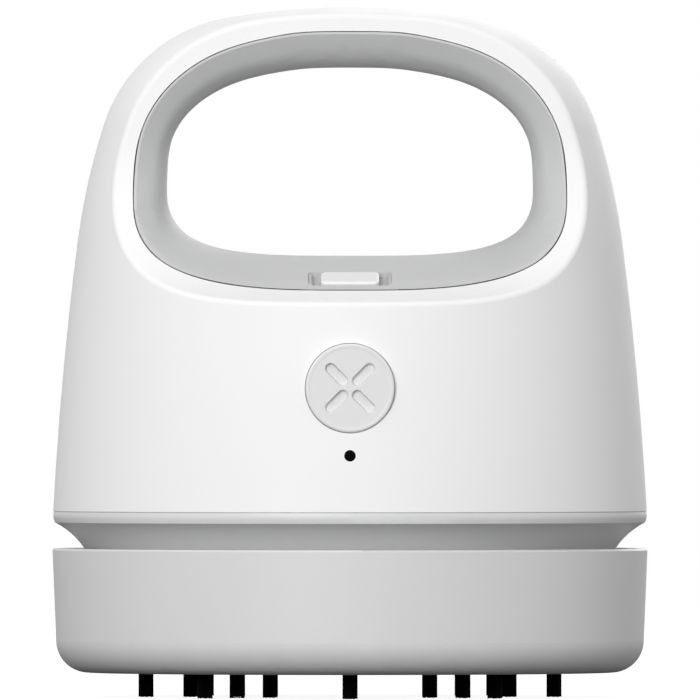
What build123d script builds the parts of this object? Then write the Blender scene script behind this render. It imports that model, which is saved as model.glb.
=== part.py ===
"""Desktop mini vacuum cleaner: a round body that narrows into a carrying handle, on a pull-off dust cup.

Millimetres. +Z is up, the table is z = 0, the Z axis runs up the middle of the body, and the front,
with the power button, faces -Y. Every piece is its own file in parts/.
"""
from build123d import *
import math
import os

# ---------------------------------------------------------------- overall form
cup_radius = 43.0        # dust cup at its rim, the widest place
bristle_reach = 3.55     # free length of the tufts below the cup
rim_height = 21.5        # top edge of the dust cup
seam_height = 26.9       # the shells stand on the collar here
shoulder_height = 57.1   # foot of the two scoops that leave the handle standing
top_height = 99.7        # crown of the handle
shell_radius = 42.9      # shells at the seam
shell_wall = 2.0
crease_fillet = 0.9      # softened edge between scoop and side

# side of the shells: tangent arcs from the seam upwards, closed by the crown's own arc, which is
# centred on the axis. Turns in degrees; the flank's radius follows from the height
side_draft = 3.05         # degrees, at the seam
flank_turn = 4.25
shoulder_arc = (96.0, 10.4)   # radius and turn
corner_arc = (22.8, 62.5)

# scoops at the front and the back
scoop_radius = 24.7
handle_half_depth = 15.7  # middle plane to the handle's face, where the scoop begins
face_draft = 3.5          # degrees, the handle's faces lean together upwards

# ---------------------------------------------------------------- handle opening and its liner
handle_thickness = 8.7    # crown to the opening's ceiling
shoulder_rise = 6.7       # opening's floor above the shoulder
opening_half_width = 26.5
opening_belly = 11.9      # opening's widest level above its floor
liner_flare = 5.0         # liner's outer edge beyond the opening, top and bottom
liner_side_flare = 4.65   # the same at the sides
liner_belly = 14.4        # outer edge's widest level above its lowest point
liner_wall = 1.6          # at the narrowest
liner_lip = 0.07          # share of the flare left as a flat lip at the seam
liner_flange = 1.3        # rim behind the shells' edge that they trap
flare_power = 2.5         # how late the flare turns outwards
crown_power = 2.45        # roundness of the outlines above their widest level
opening_foot_power = 3.6  # and below it
liner_foot_power = 3.05
seam_gap = 0.12           # liner to shell
lip_break = 20.0          # the shells' parting lip stops this far from the middle, short of that rim
outline_steps = 12        # along each half of the outline
liner_stations = (0, 5, 10, 15, 20, 26, 31.4, 36)

# ---------------------------------------------------------------- collar under the shells
lip_height = 1.65         # rounded edge that shows under the seam
lip_inset = 0.25          # lip's lower edge inside its outer one
waist_radius = 38.4       # collar where it meets the cup's rim level
waist_sag = 0.36          # hollow of the waist between lip and rim level
neck_radius = 37.6        # collar inside the cup
collar_wall = 1.8
deck_rise = 2.5           # deck's top above the seam
deck_thickness = 1.8
fit_gap = 0.25            # cup over skirt, shells over deck
skirt_height = 5.0        # spigot that the cup slides over
skirt_wall = 2.2
skirt_foot = 12.6         # its lower edge above the table
flange_thickness = 1.3    # joins skirt and neck
vent_height = 3.3
vent_lift = 0.3           # above that flange
vent_width = 3.2
vent_pitch = 10           # degrees
pillar_radius = 3.0
pillar_circle = 33.2      # circle of the four long screws
seal_width = 1.4
seal_depth = 0.9
seal_gap = 0.05

# ---------------------------------------------------------------- dust cup and brush plate
cup_wall = 2.2
cup_draft = 0.55          # how much the cup narrows to its foot
cup_corner = 4.6
cup_floor = 2.6
rim_round = 0.3
rebate_depth = 1.6        # the brush plate lies in it
rebate_width = 2.6
plate_radius = 37.0
plate_gap = 0.2
plate_thickness = 1.5
plate_crown = 1.3         # raised middle of the plate
seat_rib_count = 8
seat_rib_depth = 1.9
seat_rib_width = 1.4
inlet_radius = 8.0
inlet_wall = 1.4
inlet_height = 10.2       # top of the inlet chimney above the table
spoke_count = 8
spoke_width = 5.2
channel_end = 29.6
channel_depth = 1.35
tuft_radius = 1.085
tuft_circles = (16.3, 23.0, 29.5)
tuft_socket = 2.1
plate_screw_circle = 34.9
plate_screw_count = 4
cup_boss_height = 3.2

# ---------------------------------------------------------------- filter, inlet plate, fan
inlet_plate_thickness = 1.4
eye_radius = 9.5
filter_height = 2.3
filter_rim = 2.2
filter_rib_width = 2.0
pleat_count = 15
pleat_wall = 0.5
impeller_radius = 27.0
impeller_foot = 18.4
blade_height = 6.2
impeller_disc = 1.2
blade_count = 11
blade_wall = 1.0
blade_start = 9.0
blade_sweep = 48          # degrees that a blade trails from root to tip
hub_radius = 4.0

# ---------------------------------------------------------------- motor
motor_radius = 12.0
motor_length = 25.0
motor_wall = 1.0
shaft_radius = 1.0
bearing_gap = 0.05
motor_boss_radius = 3.0
pad_thickness = 0.6
motor_screw_offset = 7.0
magnet_thickness = 1.5
armature_radius = 8.6
armature_length = 13.0
commutator_radius = 2.8

# ---------------------------------------------------------------- electronics
button_height = 44.7      # centre of the power button
button_radius = 6.4
button_gap = 0.08
button_proud = 0.5
button_thickness = 2.4
button_flange = 1.1       # rim behind the shell
flange_depth = 1.2
button_travel = 0.8
slot_length = 4.05
slot_width = 1.6
slot_circle = 2.72
slot_depth = 0.55
lens_height = 35.0        # indicator, below the button
lens_radius = 0.8
board_depth = 32.6        # main board's front face from the middle plane
board_width = 30.0
board_foot = 32.0
board_length = 22.0
board_thickness = 1.2
board_screw_x = 12.0
board_screw_inset = 3.0
switch_size = 6.0
switch_depth = 3.5
stem_radius = 1.75
stem_reach = 2.3          # button's back to the stem's end
stem_gap = 0.05
battery_radius = 7.0
battery_length = 43.0
battery_depth = 21.5      # behind the middle plane
battery_height = 46.0
socket_height = 33.4      # charging socket's centre
socket_width = 8.94
socket_tall = 3.26
socket_length = 7.35
socket_wall = 0.3
socket_recess = 0.6
charge_board_length = 11.7
charge_board_edge = 3.5   # behind the socket's mouth
charge_post_setback = 11.85   # its screws, behind the mouth
slider_depth = 27.0       # slide switch in front of the middle plane
slider_pocket = (12.0, 6.4)
slider_size = (8.4, 4.8)
slider_travel = 0.9
pocket_depth = 1.7
pocket_base = 1.5         # under the pocket, down to the switch
slider_proud = 0.3
tray_floor = 0.9          # the tray's inner floor below the liner's
tray_wall = 0.4
slide_body_height = 3.4   # the switch under the pocket
slide_board_thickness = 1.0
slide_screw_x = 5.9

lead_radius = 0.5
lead_bend = 1.2

screw_radius = 1.2
screw_head_radius = 2.2
screw_head_height = 1.3
small_screw_radius = 0.9
small_head_radius = 1.7
small_head_height = 1.0
touch = 0.02              # clear of a threaded wall

# ---------------------------------------------------------------- levels worked out from the above
opening_top = top_height - handle_thickness
opening_bottom = shoulder_height + shoulder_rise
opening_level = opening_bottom + opening_belly
liner_top = opening_top + liner_flare
liner_bottom = opening_bottom - liner_flare
liner_level = liner_bottom + liner_belly
liner_half_width = opening_half_width + liner_side_flare
scoop_y = handle_half_depth + scoop_radius
scoop_z = shoulder_height + scoop_radius
deck_top = seam_height + deck_rise
deck_under = deck_top - deck_thickness
skirt_top = skirt_foot + skirt_height
cup_bore = cup_radius - cup_wall
skirt_radius = cup_bore - fit_gap
skirt_bore = skirt_radius - skirt_wall
neck_bore = neck_radius - collar_wall
plate_foot = bristle_reach + rebate_depth - plate_thickness
cup_floor_top = bristle_reach + cup_floor
motor_foot = deck_top + pad_thickness
motor_top = motor_foot + motor_length
filter_top = skirt_foot + filter_height
inlet_plate_top = filter_top + inlet_plate_thickness
impeller_top = impeller_foot + blade_height + impeller_disc
screw_angles = (45, 135, 225, 315)


# ---------------------------------------------------------------- helpers
def turned(outline):
    """Solid of revolution about Z from a closed outline of (radius, height)."""
    return revolve(make_face(Plane.XZ * outline), axis=Axis.Z)


def disc(radius, low, high, bore=0.0):
    """Flat round piece on the Z axis between two heights, with or without a bore."""
    face = Circle(radius) - Circle(bore) if bore else Circle(radius)
    return extrude(Pos(0, 0, low) * face, high - low)


def post(x, y, radius, low, high):
    return Pos(x, y, 0) * disc(radius, low, high)


def block(x, y, z):
    """Box between two limits on each axis."""
    size = [limits[1] - limits[0] for limits in (x, y, z)]
    middle = [sum(limits) / 2 for limits in (x, y, z)]
    return Pos(*middle) * Box(*size)


def around(count, piece, start=0.0):
    """Copies of a piece turned about Z."""
    return [Rot(0, 0, start + 360 / count * i) * piece for i in range(count)]


def pan_screw(x, y, head_low, tip):
    """Small screw with a round flat-topped head, pointing up."""
    head_top = head_low + small_head_height
    drive = post(x, y, 0.7, head_low, head_low + 0.5)
    return post(x, y, small_head_radius, head_low, head_top) + post(
        x, y, small_screw_radius, head_top, tip) - drive


# ---------------------------------------------------------------- outer form of the upper body
def flank_radius():
    """Radius of the lowest arc of the side, which takes up the height that the other arcs leave."""
    leans = [math.radians(side_draft)]
    for turn in (flank_turn, shoulder_arc[1], corner_arc[1]):
        leans.append(leans[-1] + math.radians(turn))
    rise, inward = top_height - seam_height, shell_radius
    for (radius, _), low, high in zip((shoulder_arc, corner_arc), leans[1:], leans[2:]):
        rise -= radius * (math.sin(high) - math.sin(low))
        inward -= radius * (math.cos(low) - math.cos(high))
    crown = (1 - math.sin(leans[-1])) / math.cos(leans[-1])
    flank_rise = math.sin(leans[1]) - math.sin(leans[0])
    flank_inward = math.cos(leans[0]) - math.cos(leans[1])
    return (rise - crown * inward) / (flank_rise - crown * flank_inward)


def body_side(inset=0.0):
    """Side of the body from the seam to the crown, or a parallel line inside it."""
    lean = math.radians(side_draft)
    start = (shell_radius - inset * math.cos(lean), seam_height - inset * math.sin(lean))
    side = Curve()
    for radius, turn in ((flank_radius(), flank_turn), shoulder_arc, corner_arc):
        arc = JernArc(start, (-math.sin(lean), math.cos(lean)), radius - inset, turn)
        side += arc
        start = (arc @ 1).X, (arc @ 1).Y
        lean += math.radians(turn)
    crown_turn = 90 - math.degrees(lean)
    return side + JernArc(start, (-math.sin(lean), math.cos(lean)), start[0] / math.cos(lean), crown_turn)


def shell_depth(z):
    """Outer radius of the shells at a height below the shoulder."""
    lean = math.radians(side_draft)
    radius = flank_radius()
    rise = z - seam_height + radius * math.sin(lean)
    return shell_radius - radius * math.cos(lean) + math.sqrt(radius**2 - rise**2)


def scoop(inset=0.0):
    """What is cut away in front of the handle: a drafted plane that runs into a round hollow."""
    lean = math.radians(face_draft)
    radius = scoop_radius + inset
    past = math.radians(25)
    start = (-scoop_y + radius * math.cos(lean), scoop_z - radius * math.sin(lean))
    middle = (-scoop_y + radius * math.cos(math.radians(50)), scoop_z - radius * math.sin(math.radians(50)))
    end = (-scoop_y - radius * math.sin(past), scoop_z - radius * math.cos(past))
    rise = top_height + 20 - start[1]
    far = -scoop_y - shell_radius
    outline = ThreePointArc(start, middle, end) + Polyline(
        end, (far, end[1]), (far, start[1] + rise),
        (start[0] + rise * math.tan(lean), start[1] + rise), start)
    return extrude(make_face(Plane.YZ * outline), shell_radius * 1.5, both=True)


def body_form(inset=0.0, foot=seam_height):
    """Revolved body with both scoops taken out."""
    side = body_side(inset)
    start, crown = side @ 0, side @ 1
    foot = min(foot, start.Y)
    corners = [(0, crown.Y), (0, foot), (start.X, foot)]
    if foot < start.Y:
        corners.append((start.X, start.Y))
    form = turned(side + Polyline(*corners))
    return form - scoop(inset) - mirror(scoop(inset), Plane.XZ)


def crease_edges(form):
    """Edges where the scoops meet the round side."""
    return [e for e in form.edges()
            if e.geom_type != GeomType.LINE and abs(e.position_at(0.5).Y) > 5
            and e.position_at(0.5).Z > seam_height + 1]


# ---------------------------------------------------------------- handle opening
def face_depth(z):
    """Middle plane to the handle's face at a height."""
    lean = math.radians(face_draft)
    tangent_z = scoop_z - scoop_radius * math.sin(lean)
    if z < tangent_z:
        return scoop_y - math.sqrt(scoop_radius**2 - (z - scoop_z) ** 2)
    return scoop_y - scoop_radius * math.cos(lean) - (z - tangent_z) * math.tan(lean)


def rounded(half_width, top, bottom, level, foot_power, angle):
    """Point of an outline that is rounder above its widest level than below it."""
    across, up = math.cos(angle), math.sin(angle)
    power = crown_power if up >= 0 else foot_power
    reach = top - level if up >= 0 else level - bottom
    return (
        half_width * math.copysign(abs(across) ** (2 / power), across),
        level + reach * math.copysign(abs(up) ** (2 / power), up),
    )


def opening_point(angle):
    return rounded(opening_half_width, opening_top, opening_bottom, opening_level,
                   opening_foot_power, angle)


def seam_point(angle, grow=0.0):
    """Liner's outer edge, or the same outline grown all round."""
    return rounded(liner_half_width + grow, liner_top + grow, liner_bottom - grow, liner_level,
                   liner_foot_power, angle)


def flare(share):
    """How far out the liner has turned, at a share of the way from the middle plane to the seam."""
    if share <= 1:
        return share**flare_power
    return 1 + flare_power * (share - 1)


def outline_angles():
    """From the lowest point up the right-hand side to the highest."""
    return [-math.pi / 2 + math.pi * i / outline_steps for i in range(outline_steps + 1)]


def closed_outline(points, depth):
    """Face at a depth whose outline runs level at its lowest and highest point, mirrored to the left."""
    right = Spline(*[(x, depth, z) for x, z in points], tangents=((1, 0, 0), (-1, 0, 0)))
    return make_face(right + mirror(right, Plane.YZ))


def flared_section(y, root, tip):
    """Face at a depth, between the opening's outline and the seam's."""
    points = []
    for angle in outline_angles():
        inner, outer = opening_point(angle), seam_point(angle)
        turn = root + (tip - root) * flare(abs(y) / face_depth(outer[1]))
        points.append((inner[0] + (outer[0] - inner[0]) * turn, inner[1] + (outer[1] - inner[1]) * turn))
    return closed_outline(points, y)


def flared_plug(root, tip):
    """Solid that fills the opening, narrowest at the middle plane and flaring to both faces."""
    depths = [-y for y in reversed(liner_stations[1:])] + list(liner_stations)
    return loft([flared_section(y, root, tip) for y in depths])


def opening_prism(grow):
    """Straight plug as wide as the liner's outer edge."""
    face = closed_outline([seam_point(angle, grow) for angle in outline_angles()], -shell_radius)
    return extrude(face, 2 * shell_radius, dir=(0, 1, 0))


def floor_height(depth):
    """Liner's floor on the middle line."""
    share = depth / face_depth(liner_bottom)
    return opening_bottom - liner_flare * (1 - liner_lip) * flare(share)


def scoop_height(depth):
    """Body's face under the opening on the middle line."""
    return scoop_z - math.sqrt(scoop_radius**2 - (scoop_y - depth) ** 2)


def slider_seat():
    """Place of the slide switch: on the liner's floor, leaning with it; its front end is on the lip."""
    half = slider_pocket[1] / 2
    near, far = scoop_height(slider_depth + half), floor_height(slider_depth - half)
    lean = math.degrees(math.atan2(far - near, 2 * half))
    return Pos(0, -slider_depth, (near + far) / 2) * Rot(lean, 0, 0)


# ---------------------------------------------------------------- shells and liner
def along_front(x, z, radius, near, far):
    """Round bar pointing to the front, between two distances from the middle plane."""
    return Pos(x, 0, z) * Rot(90, 0, 0) * disc(radius, near, far)


def board_screw_places():
    low, high = board_foot + board_screw_inset, board_foot + board_length - board_screw_inset
    return [(x, z) for x in (-board_screw_x, board_screw_x) for z in (low, high)]


def socket_outline(grow=0.0):
    """Cross-section of the charging socket, looking at the back."""
    tall = socket_tall + 2 * grow
    outline = RectangleRounded(socket_width + 2 * grow, tall, tall / 2 - 0.01)
    return Plane.XZ.offset(-shell_radius) * Pos(0, socket_height) * outline


def pocket_block(grow=0.0):
    """Box of the slide switch under the liner's floor."""
    wide, long = slider_pocket[0] + 2.2 + 2 * grow, slider_pocket[1] + 1.6 + 2 * grow
    return slider_seat() * rounded_box(wide, long, -1, pocket_depth + pocket_base, 1.0)


def parting_lip(side):
    """Rib inside one shell that reaches behind the other one and keeps the seam flush."""
    inside = body_form(shell_wall + 0.9)
    root = body_form(shell_wall - 0.3) - inside
    tongue = body_form(shell_wall + 0.05) - inside
    x_range, z_range = (-shell_radius, shell_radius), (deck_top + 0.3, top_height)
    root = root & block(x_range, sorted((side * 1.6, side * 0.1)), z_range)
    tongue = tongue & block(x_range, sorted((side * 1.6, -side * 1.2)), z_range)
    middle = block((-lip_break, lip_break), (-2, 2), (scoop_z, top_height))
    return (root + tongue) - opening_prism(liner_flange + 0.3) - middle


def shell_fittings(front):
    """Screw pillars with their ribs, and what each shell holds, before trimming to the wall."""
    fittings = []
    for angle in screw_angles:
        if (angle > 180) == front:
            pillar = post(pillar_circle, 0, pillar_radius, deck_top, deck_top + 9)
            rib = block((pillar_circle, shell_radius), (-1, 1), (deck_top, deck_top + 8))
            fittings.append(Rot(0, 0, angle) * (pillar + rib))
    if front:
        guide = button_radius + button_flange + button_gap
        face = shell_depth(button_height)
        fittings.append(along_front(0, button_height, guide + 0.9, face - 5.4, face)
                        - along_front(0, button_height, guide, face - 6, face))
        fittings += [along_front(x, z, 2.2, board_depth, shell_radius) for x, z in board_screw_places()]
    else:
        frame = extrude(socket_outline(1.5) - socket_outline(0.22), 4.2, dir=(0, -1, 0))
        fittings.append(frame)
    return fittings


def half_shell(front):
    """One of the two shells: a wall, pillars, ribs and openings."""
    form = body_form()
    form = fillet(crease_edges(form), crease_fillet)
    wall = form - body_form(shell_wall, deck_under) - opening_prism(seam_gap)
    far = shell_radius
    y_range = (-far, 0) if front else (0, far)
    wall = wall & block((-far, far), y_range, (0, top_height))
    inside = body_form(shell_wall / 2) - opening_prism(liner_flange + 0.3)
    for fitting in shell_fittings(front):
        wall += fitting & inside
    if front:
        wall += parting_lip(-1)
    for angle in screw_angles:
        if (angle > 180) == front:
            hole = post(pillar_circle, 0, screw_radius + touch, deck_top - 1, deck_top + 7.5)
            wall -= Rot(0, 0, angle) * hole
    if not front:
        return wall - extrude(socket_outline(0.22), 12, dir=(0, -1, 0))
    wall -= along_front(0, button_height, button_radius + button_gap, board_depth, far + 2)
    wall -= along_front(0, lens_height, lens_radius + 0.03, board_depth, far + 2)
    for x, z in board_screw_places():
        wall -= along_front(x, z, small_screw_radius + touch, board_depth - 1, board_depth + 4)
    return wall - pocket_block(0.15)


def front_shell():
    return half_shell(True)


def rear_shell():
    return half_shell(False)


def handle_liner():
    """One-piece ring through the handle: flared, with a rim that both shells trap."""
    hollow = flared_plug(0.0, 1 - liner_lip)
    ring = (flared_plug(liner_wall / liner_flare, 1.0) - hollow) & body_form(0.01)
    rim = body_form(shell_wall + 0.1) - body_form(shell_wall + 1.3)
    rim = (rim & opening_prism(liner_flange)) - hollow
    pocket = pocket_block() - hollow
    near = slider_depth + slider_pocket[1] / 2 + 0.8
    pocket = pocket & block((-20, 20), (-near, 0), (0, top_height)) & body_form(0.01)
    liner = ring + rim + pocket + slide_posts()
    liner -= slider_seat() * rounded_box(*slider_pocket, -2, pocket_depth, 1.2)
    liner -= [slider_seat() * Pos(x, 0, 1.1 - board_level()) * Cylinder(small_screw_radius + touch, 3)
              for x in (-slide_screw_x, slide_screw_x)]
    return liner - slider_seat() * stem_slot(pocket_depth - 0.5, switch_level() + 0.5)


# ---------------------------------------------------------------- collar and what seals it
def collar_outline():
    """Section of the collar from the deck down to the spigot."""
    lip_radius = shell_radius - lip_inset
    lip_low = seam_height - lip_height
    sag = (waist_sag * 0.67, waist_sag * 0.74)
    middle = ((lip_radius + waist_radius) / 2 - sag[0], (lip_low + rim_height) / 2 + sag[1])
    deck_radius = shell_radius - shell_wall - fit_gap
    return (
        Polyline((0, deck_top), (deck_radius - 0.5, deck_top), (deck_radius, deck_top - 0.5),
                 (deck_radius, seam_height), (shell_radius - 0.1, seam_height))
        + ThreePointArc((shell_radius - 0.1, seam_height), (shell_radius, seam_height - 0.6),
                        (lip_radius, lip_low))
        + ThreePointArc((lip_radius, lip_low), middle, (waist_radius, rim_height))
        + Polyline((waist_radius, rim_height), (neck_radius, rim_height - 0.3), (neck_radius, skirt_top),
                   (skirt_radius - 0.4, skirt_top), (skirt_radius, skirt_top - 0.4),
                   (skirt_radius, skirt_foot + 0.8), (skirt_radius - 0.5, skirt_foot),
                   (skirt_bore, skirt_foot), (skirt_bore, inlet_plate_top), (neck_bore, inlet_plate_top),
                   (neck_bore, deck_under), (0, deck_under), (0, deck_top))
    )


def cradle_screw_places():
    return [(x, battery_depth - 3) for x in (-9.5, 9.5)]


def charge_post_places():
    return [(x, socket_face() - charge_post_setback) for x in (-5.8, 5.8)]


def waist_collar():
    """Collar between shells and cup: deck for the motor, ring of air slots, spigot with a seal groove."""
    collar = turned(collar_outline())
    foot = skirt_top + vent_lift
    slot = block((neck_bore - 1, neck_radius + 1), (-vent_width / 2, vent_width / 2),
                 (foot, foot + vent_height))
    collar -= around(360 // vent_pitch, slot, vent_pitch / 2)
    groove = skirt_foot + 1.9
    collar -= disc(skirt_radius + 1, groove, groove + seal_width, skirt_radius - seal_depth)
    holes = [disc(motor_boss_radius + 0.1, deck_under - 1, deck_top + 1)]
    holes += [countersink(x, y, screw_radius, screw_head_radius, screw_head_height)
              for x, y in pillar_places()]
    holes += [countersink(x, 0, small_screw_radius, small_head_radius, small_head_height)
              for x in (-motor_screw_offset, motor_screw_offset)]
    holes += [countersink(x, y, small_screw_radius, small_head_radius, small_head_height)
              for x, y in cradle_screw_places()]
    collar -= holes
    for x, y in charge_post_places():
        stand = post(x, y, 2.4, deck_top - 0.5, charge_board_foot())
        collar = collar + stand - post(x, y, small_screw_radius + touch, deck_under + 0.4, deck_top + 3)
    return collar


def pillar_places():
    return [(pillar_circle * math.cos(math.radians(a)), pillar_circle * math.sin(math.radians(a)))
            for a in screw_angles]


def countersink(x, y, radius, head_radius, head_height):
    """Hole through the deck for a flat-headed screw from below."""
    sink = Pos(x, y, deck_under + head_height / 2) * Cone(
        head_radius + touch, radius + touch, head_height)
    return sink + post(x, y, radius + touch, deck_under - 0.5, deck_top + 1)


def flat_screw(x, y, radius, head_radius, head_height, head_low, tip):
    """Flat-headed screw pointing up, with a hexagonal socket."""
    head = Pos(x, y, head_low + head_height / 2) * Cone(head_radius, radius, head_height)
    drive = extrude(Pos(x, y, head_low) * RegularPolygon(radius * 0.75, 6), head_height * 0.6)
    return head + post(x, y, radius, head_low + head_height, tip) - drive


def shell_screws():
    return [flat_screw(x, y, screw_radius, screw_head_radius, screw_head_height, deck_under, deck_top + 7)
            for x, y in pillar_places()]


def seal_ring():
    """Ring in the spigot's groove, the cup grips it."""
    low = skirt_foot + 1.95
    root, tip = skirt_radius - seal_depth + 0.02, cup_bore - seal_gap
    high = low + seal_width - 0.1
    outline = Polyline((tip - 0.45, high), (root, high), (root, low), (tip - 0.45, low))
    outline += ThreePointArc((tip - 0.45, low), (tip, (low + high) / 2), (tip - 0.45, high))
    return turned(outline)


def inlet_plate():
    """Floor of the fan chamber, with the eye that the fan draws through."""
    bore = eye_radius
    outline = Polyline((bore + 1.2, filter_top), (skirt_bore - 0.05, filter_top),
                       (skirt_bore - 0.05, inlet_plate_top), (bore + 1.2, inlet_plate_top))
    outline += ThreePointArc((bore + 1.2, inlet_plate_top), (bore + 0.35, inlet_plate_top + 0.35),
                             (bore, inlet_plate_top + 1.2))
    outline += Polyline((bore, inlet_plate_top + 1.2), (bore - 1.0, inlet_plate_top + 1.2))
    outline += ThreePointArc((bore - 1.0, inlet_plate_top + 1.2), (bore - 0.4, filter_top + 0.7),
                             (bore + 1.2, filter_top))
    plate = turned(outline)
    rib = block((eye_radius + 3, skirt_bore - 3), (-0.6, 0.6),
                (inlet_plate_top - 0.2, inlet_plate_top + 0.7))
    return plate + around(8, rib, 22.5)


def filter_frame():
    """Ring pressed into the spigot, with a cross of ribs that carries the pleats."""
    ring = disc(skirt_bore - 0.05, skirt_foot, filter_top, skirt_bore - filter_rim)
    half = filter_rib_width / 2
    arm = block((-skirt_bore + 1, skirt_bore - 1), (-half, half), (skirt_foot, skirt_foot + 0.7))
    hub = disc(5, skirt_foot, skirt_foot + 0.7)
    tab = block((-3, 3), (-1.2, 1.2), (skirt_foot, skirt_foot + 0.7))
    return ring + arm + Rot(0, 0, 90) * arm + hub + Rot(0, 0, 45) * tab


def filter_media():
    """Pleated sheet between the frame's ribs and the inlet plate."""
    low, high = skirt_foot + 0.72, filter_top - 0.02
    reach = skirt_bore - filter_rim - 0.05
    pitch = 2 * reach / pleat_count
    crest = high - pleat_wall
    upper, lower = [], []
    for i in range(2 * pleat_count + 1):
        x = -reach + i * pitch / 2
        base = low if i % 2 == 0 else crest
        lower.append((x, base))
        upper.append((x, base + pleat_wall))
    sheet = extrude(Plane.XZ * make_face(Polyline(*lower, *reversed(upper), close=True)), reach, both=True)
    return sheet & disc(reach, low - 1, high + 1)


# ---------------------------------------------------------------- dust cup and brush plate
def seat_rib():
    return block((cup_bore - seat_rib_depth, cup_bore + 0.5), (-seat_rib_width / 2, seat_rib_width / 2),
                 (cup_floor_top - 0.5, skirt_foot - 0.3))


def plate_screw_places():
    places = []
    for i in range(plate_screw_count):
        angle = math.radians(22.5 + 360 / plate_screw_count * i)
        places.append((plate_screw_circle * math.cos(angle), plate_screw_circle * math.sin(angle)))
    return places


def dust_cup():
    """Cup that collects the dust: rounded foot, draft, seat ribs and a rebate for the brush plate."""
    foot, foot_radius = bristle_reach, cup_radius - cup_draft
    corner = cup_corner
    rebate = foot + rebate_depth
    hollow = plate_radius + plate_gap - rebate_width
    outline = Polyline((hollow, cup_floor_top), (hollow, rebate), (plate_radius + plate_gap, rebate),
                       (plate_radius + plate_gap, foot), (foot_radius - corner, foot))
    knee = corner * (1 - math.sqrt(0.5))
    outline += ThreePointArc((foot_radius - corner, foot), (foot_radius - knee, foot + knee),
                             (foot_radius + 0.03, foot + corner))
    outline += Line((foot_radius + 0.03, foot + corner), (cup_radius, rim_height - rim_round))
    outline += ThreePointArc((cup_radius, rim_height - rim_round),
                             (cup_radius - rim_round * 0.3, rim_height - rim_round * 0.3),
                             (cup_radius - rim_round, rim_height))
    outline += Polyline((cup_radius - rim_round, rim_height), (cup_bore + 0.5, rim_height),
                        (cup_bore, rim_height - 0.5), (cup_bore, cup_floor_top + 2.4))
    outline += ThreePointArc((cup_bore, cup_floor_top + 2.4), (cup_bore - 0.7, cup_floor_top + 0.7),
                             (cup_bore - 2.4, cup_floor_top))
    outline += Line((cup_bore - 2.4, cup_floor_top), (hollow, cup_floor_top))
    cup = turned(outline) + around(seat_rib_count, seat_rib(), 22.5)
    for x, y in plate_screw_places():
        boss = post(x, y, 2.3, rebate + 0.2, cup_floor_top + cup_boss_height)
        cup = cup + boss - post(x, y, small_screw_radius + touch, rebate - 1, cup_floor_top + 2.6)
    return cup


def brush_plate():
    """Round plate under the cup: inlet with its chimney, suction channels, sockets for the tufts."""
    rebate = bristle_reach + rebate_depth
    top = rebate + plate_crown
    raised = plate_radius + plate_gap - rebate_width - 0.3
    plate = disc(plate_radius, plate_foot, rebate) + disc(raised, rebate - 0.2, top)
    chimney = inlet_radius + inlet_wall
    plate += disc(chimney, top - 0.2, inlet_height)
    web = Plane.XZ * make_face(Polyline((chimney - 0.5, top - 0.2), (chimney + 5, top - 0.2),
                                        (chimney - 0.5, inlet_height - 0.6), close=True))
    plate += around(spoke_count, extrude(web, 0.6, both=True), 22.5)
    plate -= [post(x, y, 2.3 + plate_gap, rebate, top + 1) for x, y in plate_screw_places()]
    recess = disc(channel_end, plate_foot - 1, plate_foot + channel_depth)
    for i in range(spoke_count):
        spoke = block((0, channel_end + 1), (-spoke_width / 2, spoke_width / 2),
                      (plate_foot - 2, plate_foot + 3))
        recess -= Rot(0, 0, 360 / spoke_count * i) * spoke
    plate = plate - recess - disc(inlet_radius, 0, inlet_height + 1)
    plate -= Pos(0, 0, plate_foot + 0.5) * Cone(inlet_radius + 1.0, inlet_radius, 1.0)
    for x, y in tuft_places():
        plate -= post(x, y, tuft_radius, 0, plate_foot + tuft_socket)
    for x, y in plate_screw_places():
        sink = Pos(x, y, plate_foot + small_head_height / 2) * Cone(
            small_head_radius + touch, small_screw_radius + touch, small_head_height)
        plate = plate - sink - post(x, y, small_screw_radius + touch, 0, rebate + 1)
    return plate


def tuft_places():
    places = []
    for i in range(spoke_count):
        angle = 2 * math.pi * i / spoke_count
        places += [(circle * math.cos(angle), circle * math.sin(angle)) for circle in tuft_circles]
    return places


def bristle_tufts():
    """Tufts of bristle in their sockets, each a little wider at its tip."""
    tufts = []
    for x, y in tuft_places():
        root = post(x, y, tuft_radius, plate_foot, plate_foot + tuft_socket)
        tip = Pos(x, y, plate_foot / 2) * Cone(tuft_radius + 0.08, tuft_radius, plate_foot)
        tufts.append(root + tip)
    return tufts


def plate_screws():
    return [flat_screw(x, y, small_screw_radius, small_head_radius, small_head_height, plate_foot,
                       cup_floor_top + 2.2)
            for x, y in plate_screw_places()]


# ---------------------------------------------------------------- fan
def polar(radius, degrees):
    return (radius * math.cos(math.radians(degrees)), radius * math.sin(math.radians(degrees)))


def blade():
    """Backward-swept blade, thinner towards its tip."""
    tip, sweep = impeller_radius - 0.1, -blade_sweep
    root_turn = math.degrees(blade_wall / blade_start)
    tip_turn = math.degrees(blade_wall / tip) * 0.9
    middle = (blade_start + tip) / 2
    mean_turn = math.degrees(blade_wall / middle) * 1.1
    outline = ThreePointArc(polar(blade_start, 0), polar(middle, sweep * 0.36), polar(tip, sweep))
    outline += Line(polar(tip, sweep), polar(tip, sweep + tip_turn))
    outline += ThreePointArc(polar(tip, sweep + tip_turn), polar(middle, sweep * 0.36 + mean_turn),
                             polar(blade_start, root_turn))
    outline += Line(polar(blade_start, root_turn), polar(blade_start, 0))
    return extrude(Pos(0, 0, impeller_foot) * make_face(outline), blade_height + 0.2)


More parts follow.
